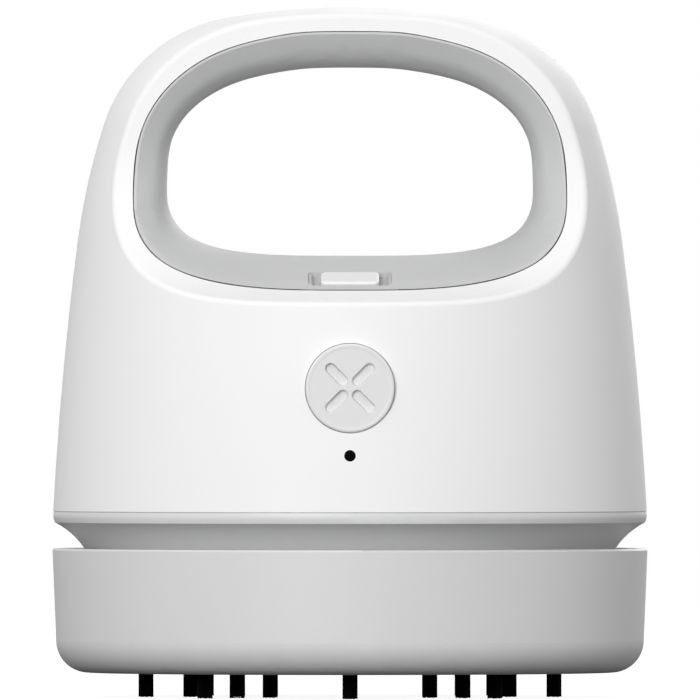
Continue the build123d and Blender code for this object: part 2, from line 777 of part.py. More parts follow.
def impeller():
    """Open fan wheel: swept blades under a disc, cut back towards the rim, on a tapered hub."""
    disc_foot = impeller_top - impeller_disc
    trim = turned(Polyline((0, impeller_foot), (blade_start + 4, impeller_foot),
                           (impeller_radius, impeller_foot + 1.6), (impeller_radius, impeller_top),
                           (0, impeller_top), close=True))
    blades = [piece & trim for piece in around(blade_count, blade())]
    cone = ThreePointArc((hub_radius - 1.2, impeller_foot + 0.6), (hub_radius, impeller_foot + 3),
                         (hub_radius + 2.5, disc_foot + 0.1))
    hub = turned(cone + Polyline((hub_radius + 2.5, disc_foot + 0.1), (0, disc_foot + 0.1),
                                 (0, impeller_foot + 0.6), (hub_radius - 1.2, impeller_foot + 0.6)))
    wheel = disc(impeller_radius, disc_foot, impeller_top) + hub
    wheel += blades
    return wheel - disc(shaft_radius, impeller_foot - 1, impeller_top + 1)


# ---------------------------------------------------------------- motor
def motor_pad():
    """Soft disc between the deck and the motor."""
    pad = disc(motor_radius, deck_top, motor_foot, motor_boss_radius + 0.1)
    return pad - [post(x, 0, small_screw_radius + touch, deck_top - 1, motor_foot + 1)
                  for x in (-motor_screw_offset, motor_screw_offset)]


def motor_can():
    """Drawn steel can with its bearing boss in the deck and two flats on its sides."""
    inner = motor_radius - motor_wall
    can = disc(motor_radius, motor_foot, motor_top) - disc(inner, motor_foot + motor_wall, motor_top + 1)
    low = [e for e in can.edges().filter_by(GeomType.CIRCLE)
           if abs(e.position_at(0).Z - motor_foot) < 0.01 and abs(e.radius - motor_radius) < 0.01]
    can = fillet(low, 0.8)
    boss = disc(motor_boss_radius, deck_under, motor_foot + 2.4)
    can = can + boss - disc(shaft_radius + bearing_gap, deck_under - 1, motor_top)
    return can - [post(x, 0, small_screw_radius + touch, motor_foot - 1, motor_foot + 2)
                  for x in (-motor_screw_offset, motor_screw_offset)]


def motor_magnets():
    """Two curved magnets glued inside the can."""
    inner = motor_radius - motor_wall
    ring = disc(inner, motor_foot + 3, motor_foot + 3 + armature_length + 1, inner - magnet_thickness)
    gaps = block((-3, 3), (-motor_radius, motor_radius), (motor_foot, motor_top))
    return ring - gaps


def motor_cap():
    """Moulded end of the motor with the upper bearing and two slots for the brushes."""
    inner = motor_radius - motor_wall
    cap = disc(inner, motor_top - 2.4, motor_top) + disc(3.2, motor_top - 0.2, motor_top + 1.2)
    rim = [e for e in cap.edges().filter_by(GeomType.CIRCLE)
           if abs(e.position_at(0).Z - motor_top) < 0.01 and e.radius > 10]
    cap = chamfer(rim, 0.4)
    cap -= disc(shaft_radius + bearing_gap, motor_top - 3, motor_top + 0.4)
    return cap - [block((x - 0.3, x + 0.3), (-1.3, 1.3), (motor_top - 4, motor_top + 3)) for x in (-6, 6)]


def motor_terminals():
    return [block((x - 0.25, x + 0.25), (-1.25, 1.25), (motor_top - 2.4, motor_top + 3)) for x in (-6, 6)]


def motor_screws():
    return [flat_screw(x, 0, small_screw_radius, small_head_radius, small_head_height, deck_under,
                       motor_foot + 1.6)
            for x in (-motor_screw_offset, motor_screw_offset)]


def motor_shaft():
    return disc(shaft_radius, impeller_foot + 0.8, motor_top + 0.1)


def armature():
    """Five-pole core with its commutator, pressed on the shaft."""
    low = motor_foot + 3.5
    core = disc(armature_radius, low, low + armature_length)
    slot = block((4, armature_radius + 1), (-0.9, 0.9), (low - 1, low + armature_length + 1))
    window = Pos(5.4, 0, low + armature_length / 2) * Cylinder(1.9, armature_length + 2)
    core -= around(5, slot + window)
    drum = disc(commutator_radius, low + armature_length - 0.1, low + armature_length + 4.5)
    return core + drum - disc(shaft_radius, low - 1, motor_top + 1)


# ---------------------------------------------------------------- battery
def battery_cell():
    """Cylindrical cell lying across the back, with its raised end."""
    half = battery_length / 2
    body = Cylinder(battery_radius, battery_length)
    body = fillet(body.edges().filter_by(GeomType.CIRCLE), 0.7)
    nub = Pos(0, 0, half + 0.35) * Cylinder(2.4, 0.7)
    return Pos(0, battery_depth, battery_height) * Rot(0, 90, 0) * (body + nub)


def battery_cradle():
    """Two saddles on a foot: the cell snaps in from above."""
    cradle = block((-15, 15), (battery_depth - 7.2, battery_depth + 0.5), (deck_top, deck_top + 1.6))
    seat = Pos(0, battery_depth, battery_height) * Rot(0, 90, 0) * Cylinder(battery_radius + 0.03, 60)
    mouth = block((-20, 20), (battery_depth - 5.6, battery_depth + 5.6), (battery_height + 3, top_height))
    for x in (-14, 14):
        saddle = block((x - 1, x + 1), (battery_depth - 8.2, battery_depth + 8.2),
                       (deck_top, battery_height + 4.4))
        saddle = fillet(saddle.edges().filter_by(Axis.X), 1.5)
        window = Pos(x, battery_depth, deck_top + 4.8) * Rot(0, 90, 0) * Cylinder(2.9, 4)
        cradle += saddle - window
    cradle = cradle - seat - mouth
    for x, y in cradle_screw_places():
        cradle += post(x, y, 2.4, deck_top, deck_top + 4)
        cradle -= post(x, y, small_screw_radius + touch, deck_top - 1, deck_top + 3.4)
    return cradle


def cradle_screws():
    return [flat_screw(x, y, small_screw_radius, small_head_radius, small_head_height, deck_under,
                       deck_top + 3)
            for x, y in cradle_screw_places()]


# ---------------------------------------------------------------- main board, button, indicator
def main_board():
    """Upright board behind the front shell, screwed to its four posts."""
    board = block((-board_width / 2, board_width / 2), (-board_depth, board_thickness - board_depth),
                  (board_foot, board_foot + board_length))
    board = fillet(board.edges().filter_by(Axis.Y), 1.0)
    return board - [along_front(x, z, small_screw_radius + touch, 0, shell_radius)
                    for x, z in board_screw_places()]


def board_screws():
    back = board_depth - board_thickness
    screws = []
    for x, z in board_screw_places():
        screw = pan_screw(0, 0, back - small_head_height, board_depth + 3.6)
        screws.append(Pos(x, 0, z) * Rot(90, 0, 0) * screw)
    return screws


def board_parts():
    """Chips, coil and connectors on the back of the board, and the lamp on its front."""
    back, front = board_thickness - board_depth, -board_depth
    lamp = block((-0.8, 0.8), (front - 0.7, front), (lens_height - 0.5, lens_height + 0.5))
    charger = block((-8.5, -4.5), (back, back + 0.9), (37, 41))
    controller = block((-1.5, 3.5), (back, back + 1.2), (39.5, 44.5))
    coil = fillet(block((5.5, 10.5), (back, back + 3), (38, 43)).edges().filter_by(Axis.Y), 1.0)
    sockets = [block((x - 2.2, x + 2.2), (back, back + 3.2), (z, z + 3.4))
               for x, z in ((-5.5, 46.5), (5.5, 46.5), (0, 48.4), (0, 33.2))]
    return [lamp, charger, controller, coil] + sockets


def tact_switch():
    """Push switch on the board behind the button, bored for its stem."""
    half = switch_size / 2
    face = board_depth + switch_depth
    body = block((-half, half), (-face, -board_depth), (button_height - half, button_height + half))
    body = fillet(body.edges().filter_by(Axis.Y), 0.5)
    return body - along_front(0, button_height, stem_radius + stem_gap, board_depth + 0.9, face + 1)


def button_face():
    return shell_depth(button_height) + button_proud


def button_back():
    """Back of the button's rim; its front stays clear of the shell's hollow inside."""
    reach = button_radius + button_flange
    inner = shell_depth(button_height) - shell_wall
    return math.sqrt(inner**2 - reach**2) - 0.3 - flange_depth


def power_button():
    """Round push button: raised edge, four slots that run out from the middle, rim behind the shell."""
    face, back = button_face(), button_back()
    body = Cylinder(button_radius, face - back, align=(Align.CENTER, Align.CENTER, Align.MIN))
    top = body.edges().filter_by(GeomType.CIRCLE).sort_by(Axis.Z)[-1]
    body = fillet(top, 0.45)
    dish = Pos(0, 0, face - back - 0.18) * Cylinder(button_radius - 0.75, 1,
                                                    align=(Align.CENTER, Align.CENTER, Align.MIN))
    body = body - dish + Pos(0, 0, flange_depth / 2) * Cylinder(button_radius + button_flange, flange_depth)
    floor = face - back - 0.18 - slot_depth
    for angle in (45, 135, 225, 315):
        slot = Rot(0, 0, angle) * Pos(slot_circle, 0, floor) * SlotOverall(slot_length, slot_width)
        body -= extrude(slot, 2)
    return Pos(0, 0, button_height) * Rot(90, 0, 0) * Pos(0, 0, back) * body


def switch_stem():
    """Stem between the button and the switch."""
    back = button_back()
    return along_front(0, button_height, stem_radius, back - stem_reach, back)


def indicator_lens():
    """Dark light guide from the shell's face to the lamp."""
    face = shell_depth(lens_height)
    inner = face - shell_wall - 0.1
    guide = along_front(0, lens_height, lens_radius, board_depth + 0.9, face - 0.02)
    return guide + along_front(0, lens_height, lens_radius + 0.3, inner - 1, inner)


# ---------------------------------------------------------------- charging socket
def charge_board_foot():
    return socket_height - socket_tall / 2 - board_thickness


def socket_face():
    return shell_depth(socket_height) - socket_recess


def charge_socket():
    """Drawn metal socket with its tongue."""
    face = socket_face()
    shell = extrude(socket_outline(), socket_length, dir=(0, -1, 0))
    shell -= extrude(socket_outline(-socket_wall), socket_length - 0.8, dir=(0, -1, 0))
    shell = Pos(0, face - shell_radius, 0) * shell
    tongue = block((-3.35, 3.35), (face - socket_length + 0.5, face - 0.9),
                   (socket_height - 0.35, socket_height + 0.35))
    legs = [block((x - 0.3, x + 0.3), (face - socket_length + 1, face - socket_length + 2.4),
                  (charge_board_foot() + 0.3, socket_height - 0.2)) for x in (-4.1, 4.1)]
    return shell + tongue + legs


def charge_board():
    """Small board under the socket, screwed to two stands of the deck."""
    foot, face = charge_board_foot(), socket_face()
    edge = face - charge_board_edge
    board = block((-8, 8), (edge - charge_board_length, edge), (foot, foot + board_thickness))
    board -= [post(x, y, small_screw_radius + touch, foot - 1, foot + 3) for x, y in charge_post_places()]
    holes = [block((x - 0.32, x + 0.32), (face - socket_length + 0.98, face - socket_length + 2.42),
                   (foot - 1, foot + 3)) for x in (-4.1, 4.1)]
    return board - holes


def charge_screws():
    top = charge_board_foot() + board_thickness
    screws = []
    for x, y in charge_post_places():
        screw = pan_screw(0, 0, -top - small_head_height, -deck_under - 0.7)
        screws.append(Pos(x, y, 0) * Rot(180, 0, 0) * screw)
    return screws


# ---------------------------------------------------------------- slide switch
def slider_part(wide, long, high, low):
    """Box in the slide switch's own frame, high and low measured below the liner's floor."""
    return Pos(0, 0, -(high + low) / 2) * Box(wide, long, low - high)


def rounded_box(wide, long, high, low, corner):
    """The same with rounded upright edges."""
    return fillet(slider_part(wide, long, high, low).edges().filter_by(Axis.Z), corner)


def stem_slot(high, low):
    """Room for the knob's stem and its travel."""
    return slider_part(1.8 + 2 * slider_travel, 1.8, high, low)


def slide_tray():
    """Light tray let into the liner's floor: sloped ends, and a slot for the knob's stem."""
    wide, long = slider_pocket[0] - 0.06, slider_pocket[1] - 0.06
    tray = rounded_box(wide, long, 0.1, pocket_depth - 0.02, 1.17)
    half, foot = wide / 2 - 0.12, slider_size[0] / 2 + slider_travel + 0.05
    bed = Plane.XZ * make_face(Polyline((-foot, -tray_floor), (foot, -tray_floor), (half, 0.5),
                                        (-half, 0.5), close=True))
    bed = extrude(bed, long / 2 - tray_wall, both=True)
    return slider_seat() * (tray - bed - stem_slot(0, pocket_depth + 1))


def slide_knob():
    """Smooth low knob with rounded corners, and the stem that works the switch."""
    knob = rounded_box(*slider_size, -slider_proud, tray_floor - 0.1, 0.9)
    knob = fillet(knob.faces().sort_by(Axis.Z)[-1].edges(), 0.35)
    stem = slider_part(1.6, 1.2, tray_floor - 0.2, switch_level() + 1.4)
    return slider_seat() * (knob + stem)


def switch_level():
    """Top of the switch body, below the liner's floor."""
    return pocket_depth + pocket_base


def board_level():
    """Top of the slide switch's board, below the liner's floor."""
    return switch_level() + slide_body_height


def slide_switch():
    """Switch body under the pocket, open on top for the knob's stem."""
    high = switch_level()
    body = slider_part(8.6, 3.6, high, board_level())
    return slider_seat() * (body - stem_slot(high - 1, high + 1.8))


def slide_board():
    high = board_level()
    board = slider_part(15, 6.4, high, high + slide_board_thickness)
    board -= [Pos(x, 0, -high) * Cylinder(small_screw_radius + touch, 4)
              for x in (-slide_screw_x, slide_screw_x)]
    return slider_seat() * board


def slide_posts():
    """Stands of the liner that carry the slide switch's board."""
    middle = (switch_level() + board_level()) / 2 - 0.1
    return [slider_seat() * Pos(x, 0, -middle) * Cylinder(1.5, slide_body_height + 0.2)
            for x in (-slide_screw_x, slide_screw_x)]


def slide_screws():
    foot = -board_level() - slide_board_thickness
    return [slider_seat() * pan_screw(x, 0, foot - small_head_height, foot + slide_board_thickness + 2.4)
            for x in (-slide_screw_x, slide_screw_x)]


# ---------------------------------------------------------------- leads
def lead(*points):
    """Insulated wire: straight runs with rounded corners."""
    path = FilletPolyline(*points, radius=lead_bend)
    return sweep(Plane(path @ 0, z_dir=path % 0) * Circle(lead_radius), path)


connector_back = board_thickness - board_depth + 3.22


def motor_leads():
    """From the terminals over the motor's shoulder to the board's upper connectors."""
    high = motor_top + 2.1
    return [lead((side * 6.28, 0, high), (side * 10.5, 0, high), (side * 10.5, -20, high - 1.6),
                 (side * 10.5, -23, 48.2), (side * 5.5, -25, 48.2), (side * 5.5, connector_back, 48.2))
            for side in (-1, 1)]


def battery_leads():
    """From both ends of the cell round the motor to the board's lower connector."""
    half = battery_length / 2
    reach = half + 2.6
    wires = []
    for side in (-1, 1):
        end = half + (0.72 if side > 0 else 0.02)
        wires.append(lead((side * end, battery_depth, battery_height),
                          (side * reach, battery_depth, battery_height), (side * reach, 3, 43),
                          (side * 15, -20, 38.5), (side * 1.2 - 1.0, -24, 36.1),
                          (side * 1.2 - 1.0, connector_back, 36.1)))
    return wires


def charge_leads():
    """From the socket's board round the motor's foot."""
    foot = charge_board_foot() + board_thickness + 0.57
    return [lead((1, 29.5, foot + rise), (1, 24, foot + rise), (3.6, 19, foot + 0.6 + rise),
                 (14.3, 4, foot + 0.8 + rise), (14.3, -8, foot + 0.8 + rise), (1.5, -23, 33.6 + rise),
                 (1.5, connector_back, 33.6 + rise)) for rise in (0, 1.2)]


def slide_leads():
    """From the slide switch's board straight down, then to the main board's middle connector."""
    level = 50.1
    foot = -board_level() - slide_board_thickness - touch
    wires = []
    for x in (-1, 1):
        start = (slider_seat() * Pos(x, 0.0, foot)).position
        below = (slider_seat() * Pos(x, 0.0, foot - 1)).position
        share = (start.Z - level) / (start.Z - below.Z)
        corner = start + (below - start) * share
        wires.append(lead(start, corner, (x, connector_back, level)))
    return wires


# ---------------------------------------------------------------- files
BUILDERS = (
    front_shell, rear_shell, shell_screws, handle_liner,
    waist_collar, seal_ring, inlet_plate, filter_frame, filter_media,
    dust_cup, brush_plate, bristle_tufts, plate_screws,
    impeller, motor_shaft, armature,
    motor_can, motor_magnets, motor_cap, motor_terminals, motor_pad, motor_screws, motor_leads,
    battery_cell, battery_cradle, cradle_screws, battery_leads, charge_leads, slide_leads,
    main_board, board_parts, board_screws, tact_switch, power_button, switch_stem, indicator_lens,
    charge_socket, charge_board, charge_screws,
    slide_tray, slide_knob, slide_switch, slide_board, slide_screws,
)

os.makedirs("parts", exist_ok=True)
for builder in BUILDERS:
    made = builder()
    pieces = made if isinstance(made, list) else [made]
    solids = [solid for piece in pieces for solid in piece.solids()]
    shape = solids[0] if len(solids) == 1 else Compound(children=solids)
    shape.label = builder.__name__
    export_step(shape, f"parts/{builder.__name__}.step")
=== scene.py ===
import math

import bpy
from mathutils import Matrix, Vector


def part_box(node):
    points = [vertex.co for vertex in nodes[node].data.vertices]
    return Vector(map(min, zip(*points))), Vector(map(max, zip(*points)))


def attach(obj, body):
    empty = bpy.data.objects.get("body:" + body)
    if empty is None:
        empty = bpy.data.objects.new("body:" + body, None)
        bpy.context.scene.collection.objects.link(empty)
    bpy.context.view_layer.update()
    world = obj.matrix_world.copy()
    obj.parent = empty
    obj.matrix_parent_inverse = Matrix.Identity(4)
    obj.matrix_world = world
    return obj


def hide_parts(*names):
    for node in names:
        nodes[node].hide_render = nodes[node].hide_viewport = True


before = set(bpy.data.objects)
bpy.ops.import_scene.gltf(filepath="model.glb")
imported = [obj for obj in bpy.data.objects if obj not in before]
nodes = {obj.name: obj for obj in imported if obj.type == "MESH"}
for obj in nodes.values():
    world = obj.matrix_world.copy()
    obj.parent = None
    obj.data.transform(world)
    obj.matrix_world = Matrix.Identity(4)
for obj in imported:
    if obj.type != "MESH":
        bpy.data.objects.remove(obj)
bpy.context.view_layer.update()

# ------------------------------------------------------------------ table, lamps and camera
# The vacuum stands on a pale table in a white tent. A soft lamp in front, left of the middle, does
# most of the work. A weak one at the right rounds the body off, a fainter one over the crown fills
# the scoops, and one behind keeps the back readable.

aim_height = 0.045
eye_height = 0.05016
eye_distance = 4.6
frame_width = 0.10118


def set_lamp(name, place, size, watts):
    """Round soft lamp that points at the middle of the body."""
    lamp = bpy.data.lights.new(name, "AREA")
    lamp.shape = "DISK"
    lamp.size = size
    lamp.energy = watts
    holder = bpy.data.objects.new(name, lamp)
    holder.location = place
    aim = Vector((0.0, 0.0, aim_height)) - Vector(place)
    holder.rotation_euler = aim.to_track_quat("-Z", "Y").to_euler()
    bpy.context.scene.collection.objects.link(holder)


set_lamp("front_lamp", (-0.40, -1.25, 0.42), 0.60, 10.9)
set_lamp("right_lamp", (1.30, -0.40, 0.25), 0.70, 1.7)
set_lamp("crown_lamp", (-0.15, -0.10, 1.30), 0.90, 0.5)
set_lamp("back_lamp", (0.35, 1.25, 0.45), 0.80, 4.0)

room = bpy.data.worlds.new("white_tent")
bpy.context.scene.world = room
room.use_nodes = True
tent = room.node_tree
tent.nodes.clear()
tent_out = tent.nodes.new("ShaderNodeOutputWorld")
tent_mix = tent.nodes.new("ShaderNodeMixShader")
tent_seen = tent.nodes.new("ShaderNodeBackground")
tent_seen.inputs["Strength"].default_value = 1.0
tent_seen.inputs["Color"].default_value = (1.0, 1.0, 1.0, 1.0)
tent_glow = tent.nodes.new("ShaderNodeBackground")
tent_glow.inputs["Strength"].default_value = 0.65
tent_glow.inputs["Color"].default_value = (1.0, 1.0, 1.0, 1.0)
tent_ray = tent.nodes.new("ShaderNodeLightPath")
tent_either = tent.nodes.new("ShaderNodeMath")
tent_either.operation = "MAXIMUM"
tent_any = tent.nodes.new("ShaderNodeMath")
tent_any.operation = "MAXIMUM"
tent.links.new(tent_ray.outputs["Is Camera Ray"], tent_either.inputs[0])
tent.links.new(tent_ray.outputs["Is Glossy Ray"], tent_either.inputs[1])
tent.links.new(tent_either.outputs[0], tent_any.inputs[0])
tent.links.new(tent_ray.outputs["Is Transmission Ray"], tent_any.inputs[1])
tent.links.new(tent_any.outputs[0], tent_mix.inputs["Fac"])
tent.links.new(tent_glow.outputs[0], tent_mix.inputs[1])
tent.links.new(tent_seen.outputs[0], tent_mix.inputs[2])
tent.links.new(tent_mix.outputs[0], tent_out.inputs["Surface"])

bpy.ops.object.select_all(action="DESELECT")
bpy.ops.mesh.primitive_plane_add(size=3.0, location=(0.0, 0.0, 0.0))
table = bpy.context.object
table.name = "table_top"
laminate_top = bpy.data.materials.new("pale_table")
laminate_top.use_nodes = True
top_tree = laminate_top.node_tree
top_tree.nodes.clear()
top_out = top_tree.nodes.new("ShaderNodeOutputMaterial")
top_matt = top_tree.nodes.new("ShaderNodeBsdfDiffuse")
top_matt.inputs["Color"].default_value = (0.16, 0.16, 0.16, 1.0)
top_lift = top_tree.nodes.new("ShaderNodeEmission")
top_lift.inputs["Color"].default_value = (1.0, 1.0, 1.0, 1.0)
top_both = top_tree.nodes.new("ShaderNodeAddShader")
top_clear = top_tree.nodes.new("ShaderNodeBsdfTransparent")
top_ray = top_tree.nodes.new("ShaderNodeLightPath")
top_level = top_tree.nodes.new("ShaderNodeMath")
top_level.operation = "MULTIPLY"
top_level.inputs[1].default_value = 0.93
top_side = top_tree.nodes.new("ShaderNodeNewGeometry")
top_pick = top_tree.nodes.new("ShaderNodeMixShader")
top_tree.links.new(top_ray.outputs["Is Camera Ray"], top_level.inputs[0])
top_tree.links.new(top_level.outputs[0], top_lift.inputs["Strength"])
top_tree.links.new(top_matt.outputs[0], top_both.inputs[0])
top_tree.links.new(top_lift.outputs[0], top_both.inputs[1])
top_tree.links.new(top_side.outputs["Backfacing"], top_pick.inputs["Fac"])
top_tree.links.new(top_both.outputs[0], top_pick.inputs[1])
top_tree.links.new(top_clear.outputs[0], top_pick.inputs[2])
top_tree.links.new(top_pick.outputs[0], top_out.inputs["Surface"])
table.data.materials.append(laminate_top)

lens = bpy.data.cameras.new("camera")
lens.type = "PERSP"
lens.sensor_width = 36.0
lens.lens = lens.sensor_width * eye_distance / frame_width
lens.clip_start = 0.1
lens.clip_end = 20.0
camera = bpy.data.objects.new("camera", lens)
camera.location = (0.0, -eye_distance, eye_height)
camera.rotation_euler = (math.radians(90.0), 0.0, 0.0)
bpy.context.scene.collection.objects.link(camera)
bpy.context.scene.camera = camera
bpy.context.scene.view_settings.view_transform = "Standard"


# ------------------------------------------------------------------ brush plate and its screws
# The plate under the cup is moulded in grey ABS with a fine eroded grain: a raised inlet in the
# middle, eight channels, and a socket for every tuft. Four zinc-plated screws hold it in the cup.


def moulded_grain():
    """Fine eroded texture of a mould, faint clouding in the colour, and rubbed patches."""
    group = bpy.data.node_groups.new("moulded_grain", "ShaderNodeTree")
    for label, kind, value in (
        ("Colour", "NodeSocketColor", (0.8, 0.8, 0.8, 1.0)),
        ("Clouding", "NodeSocketFloat", 0.02),
        ("Roughness", "NodeSocketFloat", 0.4),
        ("Rubbing", "NodeSocketFloat", 0.05),
        ("Grain Size", "NodeSocketFloat", 0.25),
        ("Grain Depth", "NodeSocketFloat", 0.01),
    ):
        group.interface.new_socket(label, in_out="INPUT", socket_type=kind).default_value = value
    group.interface.new_socket("Colour", in_out="OUTPUT", socket_type="NodeSocketColor")
    group.interface.new_socket("Roughness", in_out="OUTPUT", socket_type="NodeSocketFloat")
    group.interface.new_socket("Normal", in_out="OUTPUT", socket_type="NodeSocketVector")
    made, wired = group.nodes.new, group.links.new
    given = made("NodeGroupInput")
    put_out = made("NodeGroupOutput")
    place = made("ShaderNodeTexCoord")
    cloud = made("ShaderNodeTexNoise")
    cloud.inputs["Scale"].default_value = 55.0
    cloud.inputs["Detail"].default_value = 4.0
    wired(place.outputs["Object"], cloud.inputs["Vector"])
    swing = made("ShaderNodeMapRange")
    swing.inputs["From Min"].default_value = 0.25
    swing.inputs["From Max"].default_value = 0.75
    swing.inputs["To Min"].default_value = -1.0
    wired(cloud.outputs["Fac"], swing.inputs["Value"])
    level = made("ShaderNodeMath")
    level.operation = "MULTIPLY_ADD"
    level.inputs[2].default_value = 1.0
    wired(swing.outputs["Result"], level.inputs[0])
    wired(given.outputs["Clouding"], level.inputs[1])
    tint = made("ShaderNodeVectorMath")
    tint.operation = "SCALE"
    wired(given.outputs["Colour"], tint.inputs[0])
    wired(level.outputs[0], tint.inputs["Scale"])
    wired(tint.outputs[0], put_out.inputs["Colour"])
    pitch = made("ShaderNodeMath")
    pitch.operation = "DIVIDE"
    pitch.inputs[0].default_value = 1000.0
    wired(given.outputs["Grain Size"], pitch.inputs[1])
    grain = made("ShaderNodeTexNoise")
    grain.inputs["Detail"].default_value = 2.0
    wired(place.outputs["Object"], grain.inputs["Vector"])
    wired(pitch.outputs[0], grain.inputs["Scale"])
    depth = made("ShaderNodeMath")
    depth.operation = "MULTIPLY"
    depth.inputs[1].default_value = 0.001
    wired(given.outputs["Grain Depth"], depth.inputs[0])
    bump = made("ShaderNodeBump")
    wired(depth.outputs[0], bump.inputs["Distance"])
    wired(grain.outputs["Fac"], bump.inputs["Height"])
    wired(bump.outputs["Normal"], put_out.inputs["Normal"])
    rub = made("ShaderNodeTexNoise")
    rub.inputs["Scale"].default_value = 150.0
    rub.inputs["Detail"].default_value = 5.0
    rub.inputs["Roughness"].default_value = 0.6
    wired(place.outputs["Object"], rub.inputs["Vector"])
    patch = made("ShaderNodeMapRange")
    patch.inputs["From Min"].default_value = 0.35
    patch.inputs["From Max"].default_value = 0.65
    patch.inputs["To Min"].default_value = -1.0
    wired(rub.outputs["Fac"], patch.inputs["Value"])
    rough = made("ShaderNodeMath")
    rough.operation = "MULTIPLY_ADD"
    wired(patch.outputs["Result"], rough.inputs[0])
    wired(given.outputs["Rubbing"], rough.inputs[1])
    wired(given.outputs["Roughness"], rough.inputs[2])
    wired(rough.outputs[0], put_out.inputs["Roughness"])
    return group


def wear_and_shade_band():
    """Band between two heights that greys and polishes a surface: wear from hands or the table, and
    painted shade in the collar's seam.
    """
    group = bpy.data.node_groups.new("wear_and_shade_band", "ShaderNodeTree")
    for label, kind, value in (
        ("Colour", "NodeSocketColor", (0.8, 0.8, 0.8, 1.0)),
        ("Roughness", "NodeSocketFloat", 0.4),
        ("Wear And Shade Tone", "NodeSocketFloat", 0.9),
        ("Band Roughness", "NodeSocketFloat", 0.3),
        ("Start Height", "NodeSocketFloat", 0.01),
        ("Full Height", "NodeSocketFloat", 0.0),
        ("Amount", "NodeSocketFloat", 0.5),
        ("Evenness", "NodeSocketFloat", 0.0),
    ):
        group.interface.new_socket(label, in_out="INPUT", socket_type=kind).default_value = value
    group.interface.new_socket("Colour", in_out="OUTPUT", socket_type="NodeSocketColor")
    group.interface.new_socket("Roughness", in_out="OUTPUT", socket_type="NodeSocketFloat")
    made, wired = group.nodes.new, group.links.new
    given = made("NodeGroupInput")
    put_out = made("NodeGroupOutput")
    place = made("ShaderNodeTexCoord")
    apart = made("ShaderNodeSeparateXYZ")
    wired(place.outputs["Object"], apart.inputs[0])
    climb = made("ShaderNodeMapRange")
    climb.interpolation_type = "SMOOTHSTEP"
    wired(apart.outputs["Z"], climb.inputs["Value"])
    wired(given.outputs["Start Height"], climb.inputs["From Min"])
    wired(given.outputs["Full Height"], climb.inputs["From Max"])
    band_patches = made("ShaderNodeTexNoise")
    band_patches.inputs["Scale"].default_value = 260.0
    band_patches.inputs["Detail"].default_value = 6.0
    band_patches.inputs["Roughness"].default_value = 0.65
    wired(place.outputs["Object"], band_patches.inputs["Vector"])
    patch = made("ShaderNodeMapRange")
    patch.inputs["From Min"].default_value = 0.42
    patch.inputs["From Max"].default_value = 0.62
    wired(band_patches.outputs["Fac"], patch.inputs["Value"])
    cover = made("ShaderNodeMath")
    cover.operation = "MAXIMUM"
    wired(patch.outputs["Result"], cover.inputs[0])
    wired(given.outputs["Evenness"], cover.inputs[1])
    mask = made("ShaderNodeMath")
    mask.operation = "MULTIPLY"
    wired(climb.outputs["Result"], mask.inputs[0])
    wired(cover.outputs[0], mask.inputs[1])
    share = made("ShaderNodeMath")
    share.operation = "MULTIPLY"
    wired(mask.outputs[0], share.inputs[0])
    wired(given.outputs["Amount"], share.inputs[1])
    wear_and_shade = made("ShaderNodeVectorMath")
    wear_and_shade.operation = "SCALE"
    wired(given.outputs["Colour"], wear_and_shade.inputs[0])
    wired(given.outputs["Wear And Shade Tone"], wear_and_shade.inputs["Scale"])
    tone = made("ShaderNodeMix")
    tone.data_type = "RGBA"
    wired(share.outputs[0], tone.inputs["Factor"])
    wired(given.outputs["Colour"], tone.inputs[6])
    wired(wear_and_shade.outputs[0], tone.inputs[7])
    wired(tone.outputs[2], put_out.inputs["Colour"])
    gloss = made("ShaderNodeMix")
    wired(share.outputs[0], gloss.inputs["Factor"])
    wired(given.outputs["Roughness"], gloss.inputs[2])
    wired(given.outputs["Band Roughness"], gloss.inputs[3])
    wired(gloss.outputs[0], put_out.inputs["Roughness"])
    return group


grain_group = moulded_grain()
wear_and_shade_group = wear_and_shade_band()


def moulded(name, colour, roughness, grain_size=0.25, grain_depth=0.006, clouding=0.015,
            rubbing=0.03, specular=0.5, wear_and_shade=None):
    """Moulded plastic; the band is (tone, roughness, start height, full height, amount, evenness): wear
    on most parts, painted shade in the collar's seam.
    """
    plastic = bpy.data.materials.new(name)
    plastic.use_nodes = True
    tree = plastic.node_tree
    shader = tree.nodes["Principled BSDF"]
    shader.inputs["Specular IOR Level"].default_value = specular
    skin = tree.nodes.new("ShaderNodeGroup")
    skin.node_tree = grain_group
    skin.inputs["Colour"].default_value = (*colour, 1.0)
    skin.inputs["Clouding"].default_value = clouding
    skin.inputs["Roughness"].default_value = roughness
    skin.inputs["Rubbing"].default_value = rubbing
    skin.inputs["Grain Size"].default_value = grain_size
    skin.inputs["Grain Depth"].default_value = grain_depth
    last = skin
    if wear_and_shade:
        band = tree.nodes.new("ShaderNodeGroup")
        band.node_tree = wear_and_shade_group
        for label, value in zip(("Wear And Shade Tone", "Band Roughness", "Start Height", "Full Height", "Amount",
                                 "Evenness"), wear_and_shade):
            band.inputs[label].default_value = value
        tree.links.new(skin.outputs["Colour"], band.inputs["Colour"])
        tree.links.new(skin.outputs["Roughness"], band.inputs["Roughness"])
        last = band
    tree.links.new(last.outputs["Colour"], shader.inputs["Base Color"])
    tree.links.new(last.outputs["Roughness"], shader.inputs["Roughness"])
    tree.links.new(skin.outputs["Normal"], shader.inputs["Normal"])
    return plastic


